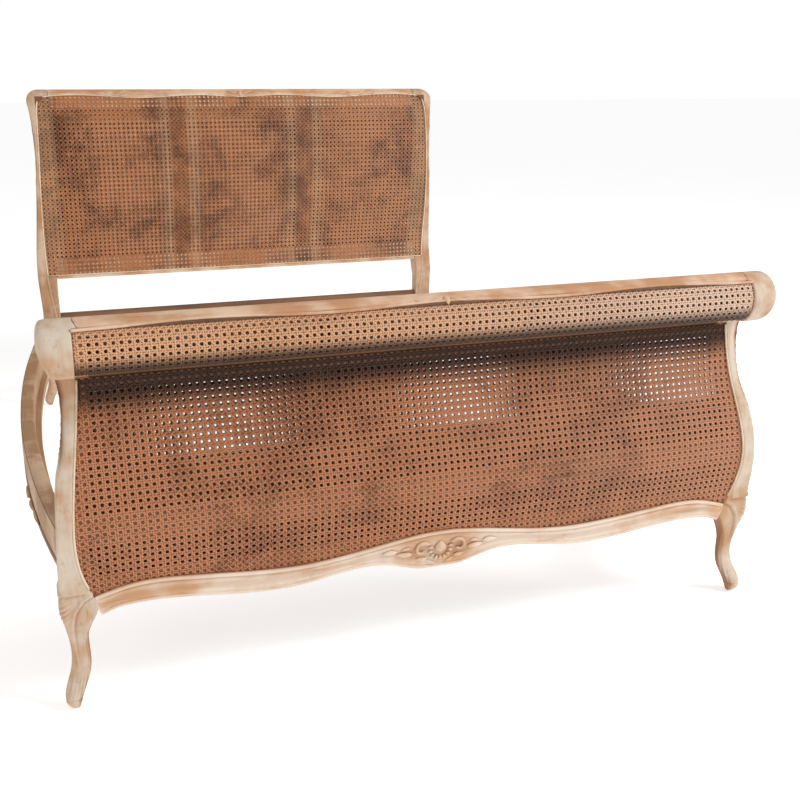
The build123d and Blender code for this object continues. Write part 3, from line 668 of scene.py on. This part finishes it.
def stained_cane(name, light, dark, bays, depth, roll_shade_heights=(9.0, 9.1), right_painted_light=0.1, rubbed=0.0):
    """Old stained cane: dark clouds in the bays, pale worn strands, a dull skin's sheen.

    Painted shade under the roll darkens it between the two heights given, and painted light makes
    it paler to the right.
    Strips beside the muntins and along the posts are rubbed pale.
    """
    finish, wire, shader, coords = new_finish(name)
    cloud = noise(wire, coords, 7.0, 6.0, 0.68)
    blot = noise(wire, coords, 21.0, 4.0, 0.6)
    fleck = noise(wire, coords, 260.0, 2.0, 0.6)
    across = wire.node("SeparateXYZ", {}, {"Vector": coords})
    beat = wire.math("COSINE", across * (2 * math.pi / bays))
    stain = (cloud * 0.72 + blot * 0.28 - beat * 0.05).ramp(0.32, 0.70)
    spots = noise(wire, coords, 16.0, 3.0, 0.5).ramp(0.64, 0.78) * 0.30
    # Wear, and on the slanting strands a painted highlight, make strands paler.
    wear = wire.node("Attribute", {"attribute_name": "wear"}, {}, out=2)
    shade = stain * depth + (fleck - 0.5) * 0.55 + spots - wear * 0.5
    base = shade.ramp(-0.12, 0.95).blend(tint(light), tint(dark))
    # Painted light: the cane is made paler toward the right, the key light's side.
    base = (across.ramp(-0.3, 0.8) * right_painted_light).blend(base, tint("E6CCB8"))
    off_muntin = abs(abs(across) - muntin_x)
    strip = off_muntin.ramp(0.022, 0.040) * (1.0 - off_muntin.ramp(0.042, 0.085))
    strip = strip + abs(across).ramp(0.615, 0.645)
    base = (strip * rubbed).blend(base, tint("DDB68C"))
    height = wire.node("SeparateXYZ", {}, {"Vector": coords}, out=2)
    # Painted shade: the band under the roll is darkened to a near black brown.
    base = (height.ramp(*roll_shade_heights) * 0.90).blend(base, tint("2E1C14"))
    feed(wire, shader, "Base Color", base)
    feed(wire, shader, "Roughness", 0.42 + 0.25 * fleck)
    shader.inputs["Specular IOR Level"].default_value = 0.4
    bumped(wire, shader, fleck, 0.0006, 0.3)
    return finish


def strand_mesh(name, uv, height, across, inside, place, thick, wear):
    """Closed three-sided strands over a grid of samples, trimmed to the panel's outline.

    uv holds each strand's samples on the panel, height how far its middle stands out and across
    its half width. A sample past the outline is brought back on to it by halving the step.
    """
    kept = inside(uv[..., 0], uv[..., 1])
    moved = uv.copy()
    for way in (1, -1):
        beside = np.roll(kept, way, axis=1)
        beside[:, 0 if way == 1 else -1] = False
        trimmed = beside & ~kept
        good = np.roll(uv, way, axis=1)[trimmed]
        bad = uv[trimmed]
        for _ in range(6):
            middle = (good + bad) / 2
            inner = inside(middle[:, 0], middle[:, 1])[:, None]
            good = np.where(inner, middle, good)
            bad = np.where(inner, bad, middle)
        moved[trimmed] = good
    segment = kept[:, :-1] | kept[:, 1:]
    side = np.asarray(across)
    ring = np.stack([place(moved - side, height - thick / 2), place(moved, height + thick / 2),
                     place(moved + side, height - thick / 2)], 2)
    strands, samples = kept.shape
    index = np.arange(strands * samples * 3).reshape(strands, samples, 3)
    near, far = index[:, :-1][segment], index[:, 1:][segment]
    turned = [1, 2, 0]
    quads = np.stack([near, near[:, turned], far[:, turned], far], -1).reshape(-1, 4)
    starts = segment & ~np.pad(segment, ((0, 0), (1, 0)))[:, :-1]
    ends = segment & ~np.pad(segment, ((0, 0), (0, 1)))[:, 1:]
    caps = np.concatenate([index[:, :-1][starts][:, ::-1], index[:, 1:][ends]])
    used = np.unique(quads)
    renumber = np.zeros(strands * samples * 3, int)
    renumber[used] = np.arange(len(used))
    piece = new_piece(name, ring.reshape(-1, 3)[used],
                      renumber[quads].tolist() + renumber[caps].tolist())
    mark(piece.data, "wear", np.broadcast_to(wear[:, None, None], ring.shape[:3]).reshape(-1)[used])
    return piece


def sheet_place(line, facing):
    """Turns panel coordinates into places: u across, v along the side-view line, out from it."""
    steps = np.hypot(*np.diff(line, axis=0).T)
    run = np.concatenate([[0], np.cumsum(steps)])
    slope = np.gradient(line, run, axis=0)
    slope /= np.linalg.norm(slope, axis=1)[:, None]

    def place(uv, out):
        u, v = uv[..., 0], uv[..., 1]
        y = np.interp(v, run, line[:, 0]) - facing * out * np.interp(v, run, slope[:, 1])
        z = np.interp(v, run, line[:, 1]) + facing * out * np.interp(v, run, slope[:, 0])
        return np.stack([facing * u, y, z], -1)

    return place, run


def weave(node, line, facing, pitch, outline, finish, seed, shift=0.0, fill=1.0):
    """A cane panel of three sets of strands, which stand for its CAD sheet.

    Upright pairs stand either side of each whole pitch, level pairs likewise, and the slanting
    strands run half a pitch off them, so that holes are left between. The line is the sheet's
    middle in side view, facing is 1 toward the foot end and -1 toward the head, and fill
    thickens the strands.
    """
    rng = np.random.default_rng(seed)
    place, run = sheet_place(line, facing)
    half = max(abs(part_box(node)[0].x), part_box(node)[1].x) + pitch
    columns = np.arange(-math.ceil(half / pitch), math.ceil(half / pitch) + 1)
    rows = np.arange(-1, math.ceil(run[-1] / pitch) + 2)

    def inside(u, v):
        z = np.interp(v, run, line[:, 1])
        return (v > 0.0005) & (v < run[-1] - 0.0005) & outline(u, v, z)

    apart, wide, thick = 0.168 * pitch, 0.118 * fill * pitch, 0.0010
    lift, cross = 0.0006, 0.0010
    beats = np.arange(2 * len(rows)) / 2 + rows[0]
    sides = np.repeat([-1, 1], len(columns))
    u = shift + np.tile(columns, 2) * pitch + sides * apart + rng.normal(0, 0.0002, 2 * len(columns))
    v = beats * pitch
    uv = np.stack(np.broadcast_arrays(u[:, None], v[None]), -1)
    whole = (beats == np.floor(beats))
    sway = sides[:, None] * np.where(whole, 1, 0) * (-1.0) ** np.floor(beats)
    uprights = strand_mesh(node + "_uprights", uv, lift * sway, (wide, 0.0), inside, place,
                           thick, rng.random(len(uv)) * 0.6)
    beats = np.arange(2 * len(columns)) / 2 + columns[0]
    sides = np.repeat([-1, 1], len(rows))
    v = np.tile(rows, 2) * pitch + sides * apart + rng.normal(0, 0.0002, 2 * len(rows))
    uv = np.stack(np.broadcast_arrays((beats * pitch + shift)[None], v[:, None]), -1)
    levels = strand_mesh(node + "_levels", uv, np.zeros(uv.shape[:2]), (0.0, -wide), inside,
                         place, thick, rng.random(len(uv)) * 0.6)
    slants = []
    for way in (1, -1):
        reach = len(columns) + len(rows)
        lines = np.arange(-reach, reach) + 0.5
        v = way * (lines[:, None] - beats[None])
        keep = ((v > rows[0] - 1) & (v < rows[-1] + 1)).any(1)
        v, heads = v[keep], lines[keep]
        uv = np.stack(np.broadcast_arrays(beats[None], v), -1) * pitch + [shift, 0.0]
        sway = np.where(beats == np.floor(beats), way, -way) * np.ones(v.shape)
        # The slanting strands get higher values: a painted highlight.
        slants.append(strand_mesh("slant", uv, cross * sway,
                                  (-way * wide * 0.707, -wide * 0.707), inside, place, thick,
                                  0.6 + 0.5 * rng.random(len(heads))))
    slanting = joined(node + "_slants", slants)
    for piece, stands_for in ((uprights, [node]), (levels, []), (slanting, [])):
        settle(piece, finish, "cane", *stands_for)


def joined(name, parts):
    """Several meshes as one object, their attributes kept."""
    with bpy.context.temp_override(active_object=parts[0], selected_editable_objects=parts):
        bpy.ops.object.join()
    parts[0].name = name
    parts[0].data.name = name
    return parts[0]


def side_line(node, low, high, face, depth):
    """The side-view line of a sheet's face (0 the foot side, 1 the head side), sunk to its middle."""
    levels = np.linspace(low, high, 160)
    y = evened(cut(node, 2, levels)[:, face, 1], 4)
    return np.stack([y + (depth if face == 0 else -depth), levels], -1)


sheet_middle = 0.0015
foot_pitch, inner_pitch = 0.01335, 0.01399
head_pitch, back_pitch = 0.0147, 0.01498
roll_cane_radius = 0.0475
selvedge = 0.001
# The outer and inner foot cane get painted shade from 0.545 m up, full above 0.603 m, under the roll.
foot_cane_finish = stained_cane("stained_foot_cane", "C4845E", "6C3D24", 0.62, 0.72,
                                (0.545, 0.603))
outer_levels = np.linspace(cane_low.z + 0.004, cane_high.z - 0.002, 90)
outer_edge = evened(cut("foot_outer_cane", 2, outer_levels)[:, 1, 0], 4)


def outer_outline(u, v, z):
    """Inside the outer cane: between the posts' edges and above the apron's bead."""
    return ((np.abs(u) < np.interp(z, outer_levels, outer_edge))
            & (z > np.interp(u, stations, bead_edge)))


weave("foot_outer_cane",
      side_line("foot_outer_cane", cane_low.z + 0.002, cane_high.z - 0.001, 0, sheet_middle),
      1, foot_pitch, outer_outline, foot_cane_finish, 11)

roll_cane_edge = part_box("foot_roll_cane")[1].x
roll_turns = np.radians(np.linspace(299.5, 128.5, 120))
roll_line = np.stack([roll_y + roll_cane_radius * np.cos(roll_turns),
                      roll_z + roll_cane_radius * np.sin(roll_turns)], -1)
# The roll's cane gets painted shade on its underside, below 0.686 m and full below 0.654 m, and
# strong painted light to the right.
roll_finish = stained_cane("stained_roll_cane", "DCA880", "824E2D", 0.62, 0.55,
                            (0.686, 0.654), 0.75)
weave("foot_roll_cane", roll_line, 1, foot_pitch,
      lambda u, v, z: np.abs(u) < roll_cane_edge - selvedge, roll_finish, 12)

inner_low, inner_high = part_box("foot_inner_cane")
weave("foot_inner_cane",
      side_line("foot_inner_cane", inner_low.z + 0.002, inner_high.z - 0.002, 1, sheet_middle),
      -1, inner_pitch, lambda u, v, z: np.abs(u) < inner_high.x - selvedge, foot_cane_finish, 13,
      0.0026, 1.6)

head_cane_low, head_cane_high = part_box("head_front_cane")
head_levels = np.linspace(head_cane_low.z + 0.002, head_cane_high.z - 0.012, 120)
head_edge = evened(cut("head_front_cane", 2, head_levels)[:, 1, 0], 4)
head_stations = np.linspace(head_cane_low.x + 0.03, head_cane_high.x - 0.03, 300)
crown_edge = evened(cut("head_front_cane", 0, head_stations)[:, 1, 2], 4)


def head_outline(u, v, z):
    """Inside the head board's front cane: between the posts' edges and below the crown's wave."""
    return ((np.abs(u) < np.interp(z, head_levels, head_edge))
            & (z < np.interp(u, head_stations, crown_edge)))


head_cane_finish = stained_cane("stained_head_cane", "C08156", "5D321D", 0.44, 0.95,
                                rubbed=0.30)
weave("head_front_cane",
      side_line("head_front_cane", head_cane_low.z + 0.001, head_cane_high.z - 0.004, 0,
                sheet_middle),
      1, head_pitch, head_outline, head_cane_finish, 14)
back_low, back_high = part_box("head_back_cane")
weave("head_back_cane",
      side_line("head_back_cane", back_low.z + 0.001, back_high.z - 0.001, 1, sheet_middle),
      -1, back_pitch, lambda u, v, z: np.abs(u) < back_high.x - selvedge, head_cane_finish, 15,
      -0.0015, 1.2)


# ---- Side rails ---------------------------------------------------------------------------
# Each rail is bowed in plan and waved along both edges. Its outer face swells a little, with a
# bead run along its lower edge, and its inner face is flat where the ledge is screwed on.
rail_finish = limed_wood("limed_rail", "Y", "C9AA8B", "A67E58", "6E4A2E", 0.85)
rail_low, rail_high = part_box("side_rail_right")
rail_stations = np.linspace(rail_low.y + 0.0006, rail_high.y - 0.0006, 331)
rail_limits = cut("side_rail_right", 1, rail_stations)
rail_out, rail_in = [evened(rail_limits[:, pick, 0], 6) for pick in (1, 0)]
rail_top, rail_base = [evened(rail_limits[:, pick, 2], 6) for pick in (1, 0)]
# Each row: share of the way from outer to inner face, share from bottom to top, then two shifts.
rail_profile = [(0, 0, -0.004, 0), (0, 0, -0.0012, 0.0022), (0, 0, 0.0004, 0.006),
                (0, 0, 0.0, 0.0105), (0, 0, -0.0030, 0.0125), (0, 0, -0.0032, 0.0145)]
rail_profile += [(0, share, -0.0026 + 0.0026 * math.sin(math.pi * share), 0.016 - 0.024 * share)
                 for share in np.linspace(0.0, 1.0, 14)]
rail_profile += [(0, 1, -0.0060 + 0.0050 * math.cos(turn), -0.006 + 0.006 * math.sin(turn))
                 for turn in np.linspace(0.3, math.pi / 2, 5)]
rail_profile += [(1, 1, 0.005, 0.0), (1, 1, 0.0015, -0.0015), (1, 1, 0.0, -0.005),
                 (1, 0.5, 0.0, 0.0), (1, 0, 0.0, 0.005), (1, 0, 0.0015, 0.0015), (1, 0, 0.005, 0)]
rail_profile = np.array(rail_profile)
for side, way in (("left", -1), ("right", 1)):
    x = (rail_out[:, None] * (1 - rail_profile[:, 0]) + rail_in[:, None] * rail_profile[:, 0]
         + rail_profile[:, 2])
    z = (rail_base[:, None] * (1 - rail_profile[:, 1]) + rail_top[:, None] * rail_profile[:, 1]
         + rail_profile[:, 3])
    rings = np.stack([way * x, np.broadcast_to(rail_stations[:, None], x.shape), z], -1)
    rail = skin("shown_side_rail_" + side, rings)
    # Painted shade in the bead's groove, and the lower edge's first rows painted paler.
    groove = np.where(np.abs(rail_profile[:, 2] + 0.0031) < 0.0002, 0.85, 0.0)
    groove[:3] = -0.3
    mark(rail.data, "hollow", np.tile(groove, len(rail_stations)))
    settle(rail, rail_finish, "limed_wood", "side_rail_" + side)


# A scroll with two leaves is carved on each rail's lower edge, toward both ends.
def on_rail(u, v, out):
    """A place on the right rail's outer face: u along the bed, v the height, out to the side."""
    face = np.interp(u, rail_stations, rail_out) - 0.0008
    return np.stack([face + out, u + 0 * out, v + 0 * out], -1)


def on_left_rail(u, v, out):
    """The same place on the left rail."""
    return on_rail(u, v, out) * [-1, 1, 1]


rail_shapes = []
rail_middle = (rail_low.y + rail_high.y) / 2
for way in (1, -1):
    for line, width, depth in [scroll_shape((-0.425, 0.219), 0.016, 0.5, 4.6, 0.0060, 0.0085),
                               leaf_shape((-0.445, 0.212), 3.0, 0.085, 0.0085, 0.0075, 0.15),
                               leaf_shape((-0.53, 0.222), 3.1, 0.090, 0.0070, 0.0060, 0.05)]:
        rail_shapes.append((line * [way, 1] + [rail_middle, 0], width, depth))
settle(carving("right_rail_carving", rail_shapes, on_rail), rail_finish, "limed_wood")
settle(carving("left_rail_carving", rail_shapes, on_left_rail), rail_finish, "limed_wood")


# ---- Head board ---------------------------------------------------------------------------
# Two posts that lean back and curl over at the top, a crown rail between them and a rail under
# the panel. A bead runs up each leg as far as the cane; the posts are scooped at the neck.
head_finish = limed_wood("limed_head", "Z", "CFB39A", "B0835C", "7A5033", 0.55)
head_top = cad_box[1].z
bead_z = np.array([0.20, 0.30, 0.36, 0.42, 0.475, 0.566, 0.70, 0.85])
bead_x = np.array([0.668, 0.672, 0.680, 0.688, 0.6935, 0.6955, 0.6935, 0.6875])
for side in ("left", "right"):
    post, places, normals, front, outward = sawn_post("head_post_" + side, 0.0024)
    x, z = np.abs(places[:, 0]), places[:, 2]
    gap = x - np.interp(z, bead_z, bead_x)
    run = np.clip((z - 0.20) / 0.04, 0, 1) * np.clip((0.478 - z) / 0.004, 0, 1) * front
    edge_groove = bell(np.abs(gap) - 0.0048, 0.0013) * run
    edge_bead = bell(gap, 0.0026) * run
    places += normals * (edge_bead * 0.0020 - edge_groove * 0.0016)[:, None]
    # Painted shade darkens the groove, scoop and flute, and the bead is painted paler.
    hollow = edge_groove * 0.6 - edge_bead * 0.9
    cove = np.clip((z - 0.805) / 0.05, 0, 1) * np.clip((1.052 - z) / 0.05, 0, 1)
    sink = np.clip(front * outward * 2.4, 0, 1) * cove
    band_x = np.interp(z, [0.78, 0.93, 1.06], [0.702, 0.699, 0.706])
    scoop = np.maximum(sink, bell(x - band_x, 0.0075) * cove * np.clip(front + outward, 0, 1))
    places -= normals * (scoop * 0.0045)[:, None]
    hollow += scoop * 0.55
    flute = np.clip(front * outward * 2.4, 0, 1) * np.clip((0.80 - z) / 0.04, 0, 1) * (z > 0.22)
    places -= normals * (flute * 0.0016)[:, None]
    hollow += flute * 0.30
    cane_edge = np.interp(z, [0.475, 0.566, 0.70, 0.85, 1.05], [0.693, 0.695, 0.693, 0.687, 0.679])
    # Painted shade darkens the wood behind the cane's edge.
    hollow += 1.3 * ((x < cane_edge) & (front > 0.2) & (z > 0.476) & (z < 1.079))
    places[:, 2] = np.clip(places[:, 2], 0.0, head_top)
    move_points(post.data, places, hollow)
    settle(post, head_finish, "limed_wood", "head_post_" + side)

crown_finish = limed_wood("limed_crown", "X", "E4C4A8", "C49068", "84563A", 0.50)
for node, voxel in (("head_top_rail", 0.0030), ("head_panel_rail", 0.0030),
                    ("foot_top_rail", 0.0028)):
    rail = eased_copy(node, voxel, 2)
    places, normals = points_of(rail.data)
    hollow = np.zeros(len(places))
    if node == "head_top_rail":
        # A wavy line of painted shade along the crown rail's front face.
        above = np.abs(places[:, 2] - np.interp(np.abs(places[:, 0]), [0, 0.13, 0.34, 0.53, 0.65],
                                                [1.086, 1.092, 1.084, 1.093, 1.088]))
        hollow = bell(above, 0.002) * np.clip(-normals[:, 1], 0, 1) * 0.5
    move_points(rail.data, places, hollow)
    settle(rail, crown_finish, "limed_wood", node)


# ---- Reeds --------------------------------------------------------------------------------
# A thin half-round reed is pressed over the edge of each panel; its top has been rubbed pale.
reed_finish = limed_wood("rubbed_reed", "X", "E6D3BA", "D0AE88", "8A6040", 0.30)


def tube(name, line, radius, sides=8):
    """A round bar through a line of places, its section square to the line."""
    line = np.asarray(line, float)
    along = np.gradient(line, axis=0)
    along /= np.linalg.norm(along, axis=1)[:, None]
    first = np.cross(along, [0.0, 1.0, 0.0])
    first /= np.linalg.norm(first, axis=1)[:, None]
    second = np.cross(along, first)
    turn = np.linspace(0, 2 * math.pi, sides, endpoint=False)
    radius = np.broadcast_to(radius, (len(line),))[:, None, None]
    return skin(name, line[:, None] + radius * (first[:, None] * np.cos(turn)[:, None]
                                                + second[:, None] * np.sin(turn)[:, None]))


def rounded_corner(first, corner, last, steps=9):
    """Points of a curve that turns from first to last, drawn towards a corner."""
    share = np.linspace(0, 1, steps)[:, None]
    first, corner, last = [np.asarray(point, float) for point in (first, corner, last)]
    return (1 - share) ** 2 * first + 2 * share * (1 - share) * corner + share ** 2 * last


def head_front_at(z):
    """Y of the head board's front face at a height."""
    return np.interp(z, head_face[:, 1], head_face[:, 0])


head_face = side_line("head_front_cane", head_cane_low.z + 0.001, head_cane_high.z - 0.002, 0, 0)
side_z = np.linspace(head_cane_low.z + 0.003, 1.046, 60)
side_x = np.interp(side_z, head_levels, head_edge) - 0.0018
top_x = np.linspace(0.640, -0.640, 160)
top_z = np.interp(top_x, head_stations, crown_edge) - 0.0018
corner = rounded_corner((side_x[-1], side_z[-1]), (side_x[-1] - 0.001, top_z[0]),
                        (top_x[0], top_z[0]))[1:-1]
right_half = np.concatenate([np.stack([side_x, side_z], -1), corner])
outline_line = np.concatenate([right_half, np.stack([top_x, top_z], -1),
                               (right_half * [-1, 1])[::-1]])
outline_y = head_front_at(outline_line[:, 1]) - 0.0012
head_reed = tube("shown_head_front_spline",
                 np.stack([outline_line[:, 0], outline_y, outline_line[:, 1]], -1), 0.0025)
settle(head_reed, reed_finish, "reed", "head_front_spline")
bottom_x = np.linspace(-side_x[0], side_x[0], 40)
bottom = np.stack([bottom_x, np.full(40, head_front_at(side_z[0]) - 0.0004),
                   np.full(40, side_z[0])], -1)
settle(tube("head_reed_bottom", bottom, 0.0022), reed_finish, "reed")

foot_face = side_line("foot_outer_cane", cane_low.z + 0.002, cane_high.z - 0.001, 0, 0)
post_reed_z = np.linspace(0.245, cane_high.z - 0.002, 90)
for way, node in ((1, ["foot_front_spline"]), (-1, [])):
    x = way * (np.interp(post_reed_z, outer_levels, outer_edge) - 0.0016)
    y = np.interp(post_reed_z, foot_face[:, 1], foot_face[:, 0]) - 0.0010
    side_reed = tube("foot_reed_%d" % way, np.stack([x, y, post_reed_z], -1), 0.0021)
    settle(side_reed, reed_finish, "reed", *node)


# ---- Carvings on the crests ---------------------------------------------------------------
# A shell knot at the middle of the crown with leaves run out from it, and two smaller sprays.
def on_crown(u, v, out):
    """A place on the crown rail's front: u across, v the height, out towards the foot end."""
    face = np.interp(v, crown_heights, crown_front)
    return np.stack([u + 0 * out, face + 0.0008 - out, v + 0 * out], -1)


crown_heights = np.linspace(1.050, head_top - 0.0006, 40)
crown_front = evened(cut("head_top_rail", 2, crown_heights)[:, 0, 1], 2)
knot_z = head_top - 0.012
spray = [leaf_shape((u, knot_z + rise), *sizes) for u, rise, *sizes in (
    (0.006, 0.0, 0.1, 0.036, 0.0060, 0.0050, 0.3),
    (0.012, -0.008, -0.1, 0.030, 0.0042, 0.0042, 0.4),
    (0.040, 0.002, 0.0, 0.040, 0.0050, 0.0042, -0.2),
    (0.072, -0.002, 0.1, 0.034, 0.0038, 0.0034, -0.2))]
knot = [leaf_shape((0.0, knot_z - 0.012), math.pi / 2, 0.022, 0.0080, 0.0070)]
crown_shapes = knot + spray + [mirrored_shape(shape) for shape in spray]
for place in (-0.42, 0.42):
    for shape in spray[:3] + [mirrored_shape(shape) for shape in spray[:3]]:
        line, width, depth = shape
        crown_shapes.append((line * [0.8, 0.9] + [place, 0.1 * knot_z], width * 0.8, depth * 0.75))
crown_carving = carving("crown_carving", crown_shapes, on_crown)
settle(crown_carving, crown_finish, "limed_wood")


# ---- Foot crest ---------------------------------------------------------------------------
# The roll's cane ends under a waved bead along the crest, with a small spray at its middle.
def on_roll(u, v, out):
    """A place on the roll: u across, v the arc's length past the top towards the foot end."""
    turn = math.pi / 2 + v / roll_radius
    reach = roll_radius + out
    return np.stack([u + 0 * out, roll_y + reach * np.cos(turn), roll_z + reach * np.sin(turn)],
                    -1)


crest_half = 0.674
crest_x = np.linspace(-crest_half, crest_half, 300)
crest_arc = 0.0345 - 0.0040 * np.cos(crest_x / crest_half * 3 * math.pi)
crest_line = on_roll(crest_x, crest_arc, np.zeros(300))
settle(tube("crest_bead", crest_line - [0, 0, 0.0006], 0.0030), crown_finish, "limed_wood")
crest_spray = [leaf_shape((0.004, 0.026), 0.1, 0.030, 0.0048, 0.0034, 0.3)]
crest_spray += [leaf_shape((0.030, 0.029), 0.0, 0.030, 0.0038, 0.0028, -0.2)]
crest_shapes = [leaf_shape((0.0, 0.016), math.pi / 2, 0.022, 0.0070, 0.0040)]
crest_shapes += crest_spray + [mirrored_shape(shape) for shape in crest_spray]
settle(carving("crest_carving", crest_shapes, on_roll), crown_finish, "limed_wood")


# ---- Hidden wood, back reeds and fittings -------------------------------------------------
# What stands behind the cane is unlimed beech, darkened by the same stain; the ledges are bare.
# The fittings are plain steel plates and screws, dulled.
def plain_wood(name, light, dark, grain):
    """Unlimed beech: two browns mixed along the grain, a dry surface."""
    finish, wire, shader, coords = new_finish(name)
    fibre = along_grain(wire, coords, grain, 30.0, 1.6)
    streak = noise(wire, fibre, 1.0, 4.0, 0.6)
    cloud = noise(wire, coords, 4.0, 3.0)
    feed(wire, shader, "Base Color",
         (streak * 0.6 + cloud * 0.4).ramp(0.3, 0.7).blend(tint(light), tint(dark)))
    feed(wire, shader, "Roughness", 0.62 + 0.15 * streak)
    bumped(wire, shader, streak, 0.0008, 0.25)
    return finish


def dulled_steel(name):
    """Zinc-plated steel gone dull: a grey metal with cloudy roughness."""
    finish, wire, shader, coords = new_finish(name)
    cloud = noise(wire, coords, 60.0, 4.0)
    feed(wire, shader, "Base Color", cloud.blend(tint("8E8A84"), tint("6A655F")))
    feed(wire, shader, "Roughness", 0.38 + 0.25 * cloud)
    shader.inputs["Metallic"].default_value = 1.0
    return finish


hidden_finishes = (
    (plain_wood("stained_frame", "8A6244", "5C3D28", "X"),
     ("foot_lip_rail", "foot_belly_rail", "foot_cross_rail", "head_low_rail")),
    # The reed under the roll is given this dark brown as painted shade from the roll.
    (plain_wood("uprights_stain_and_reed_shade", "7E583C", "523524", "Z"),
     ("foot_roll_formers", "foot_stile_left", "foot_stile_right", "head_muntin_left",
      "head_muntin_right", "foot_roll_splines")),
    (plain_wood("bare_ledge", "C9A57E", "A88059", "Y"), ("base_ledge_left", "base_ledge_right")),
    (dulled_steel("dulled_steel"),
     ("rail_hook_plates", "post_slot_plates", "plate_screws", "ledge_screws")),
    (reed_finish, ("foot_back_spline", "head_back_spline")))
for finish, nodes in hidden_finishes:
    for node in nodes:
        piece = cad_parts[node]
        piece.data.materials.clear()
        piece.data.materials.append(finish)


bpy.context.view_layer.update()
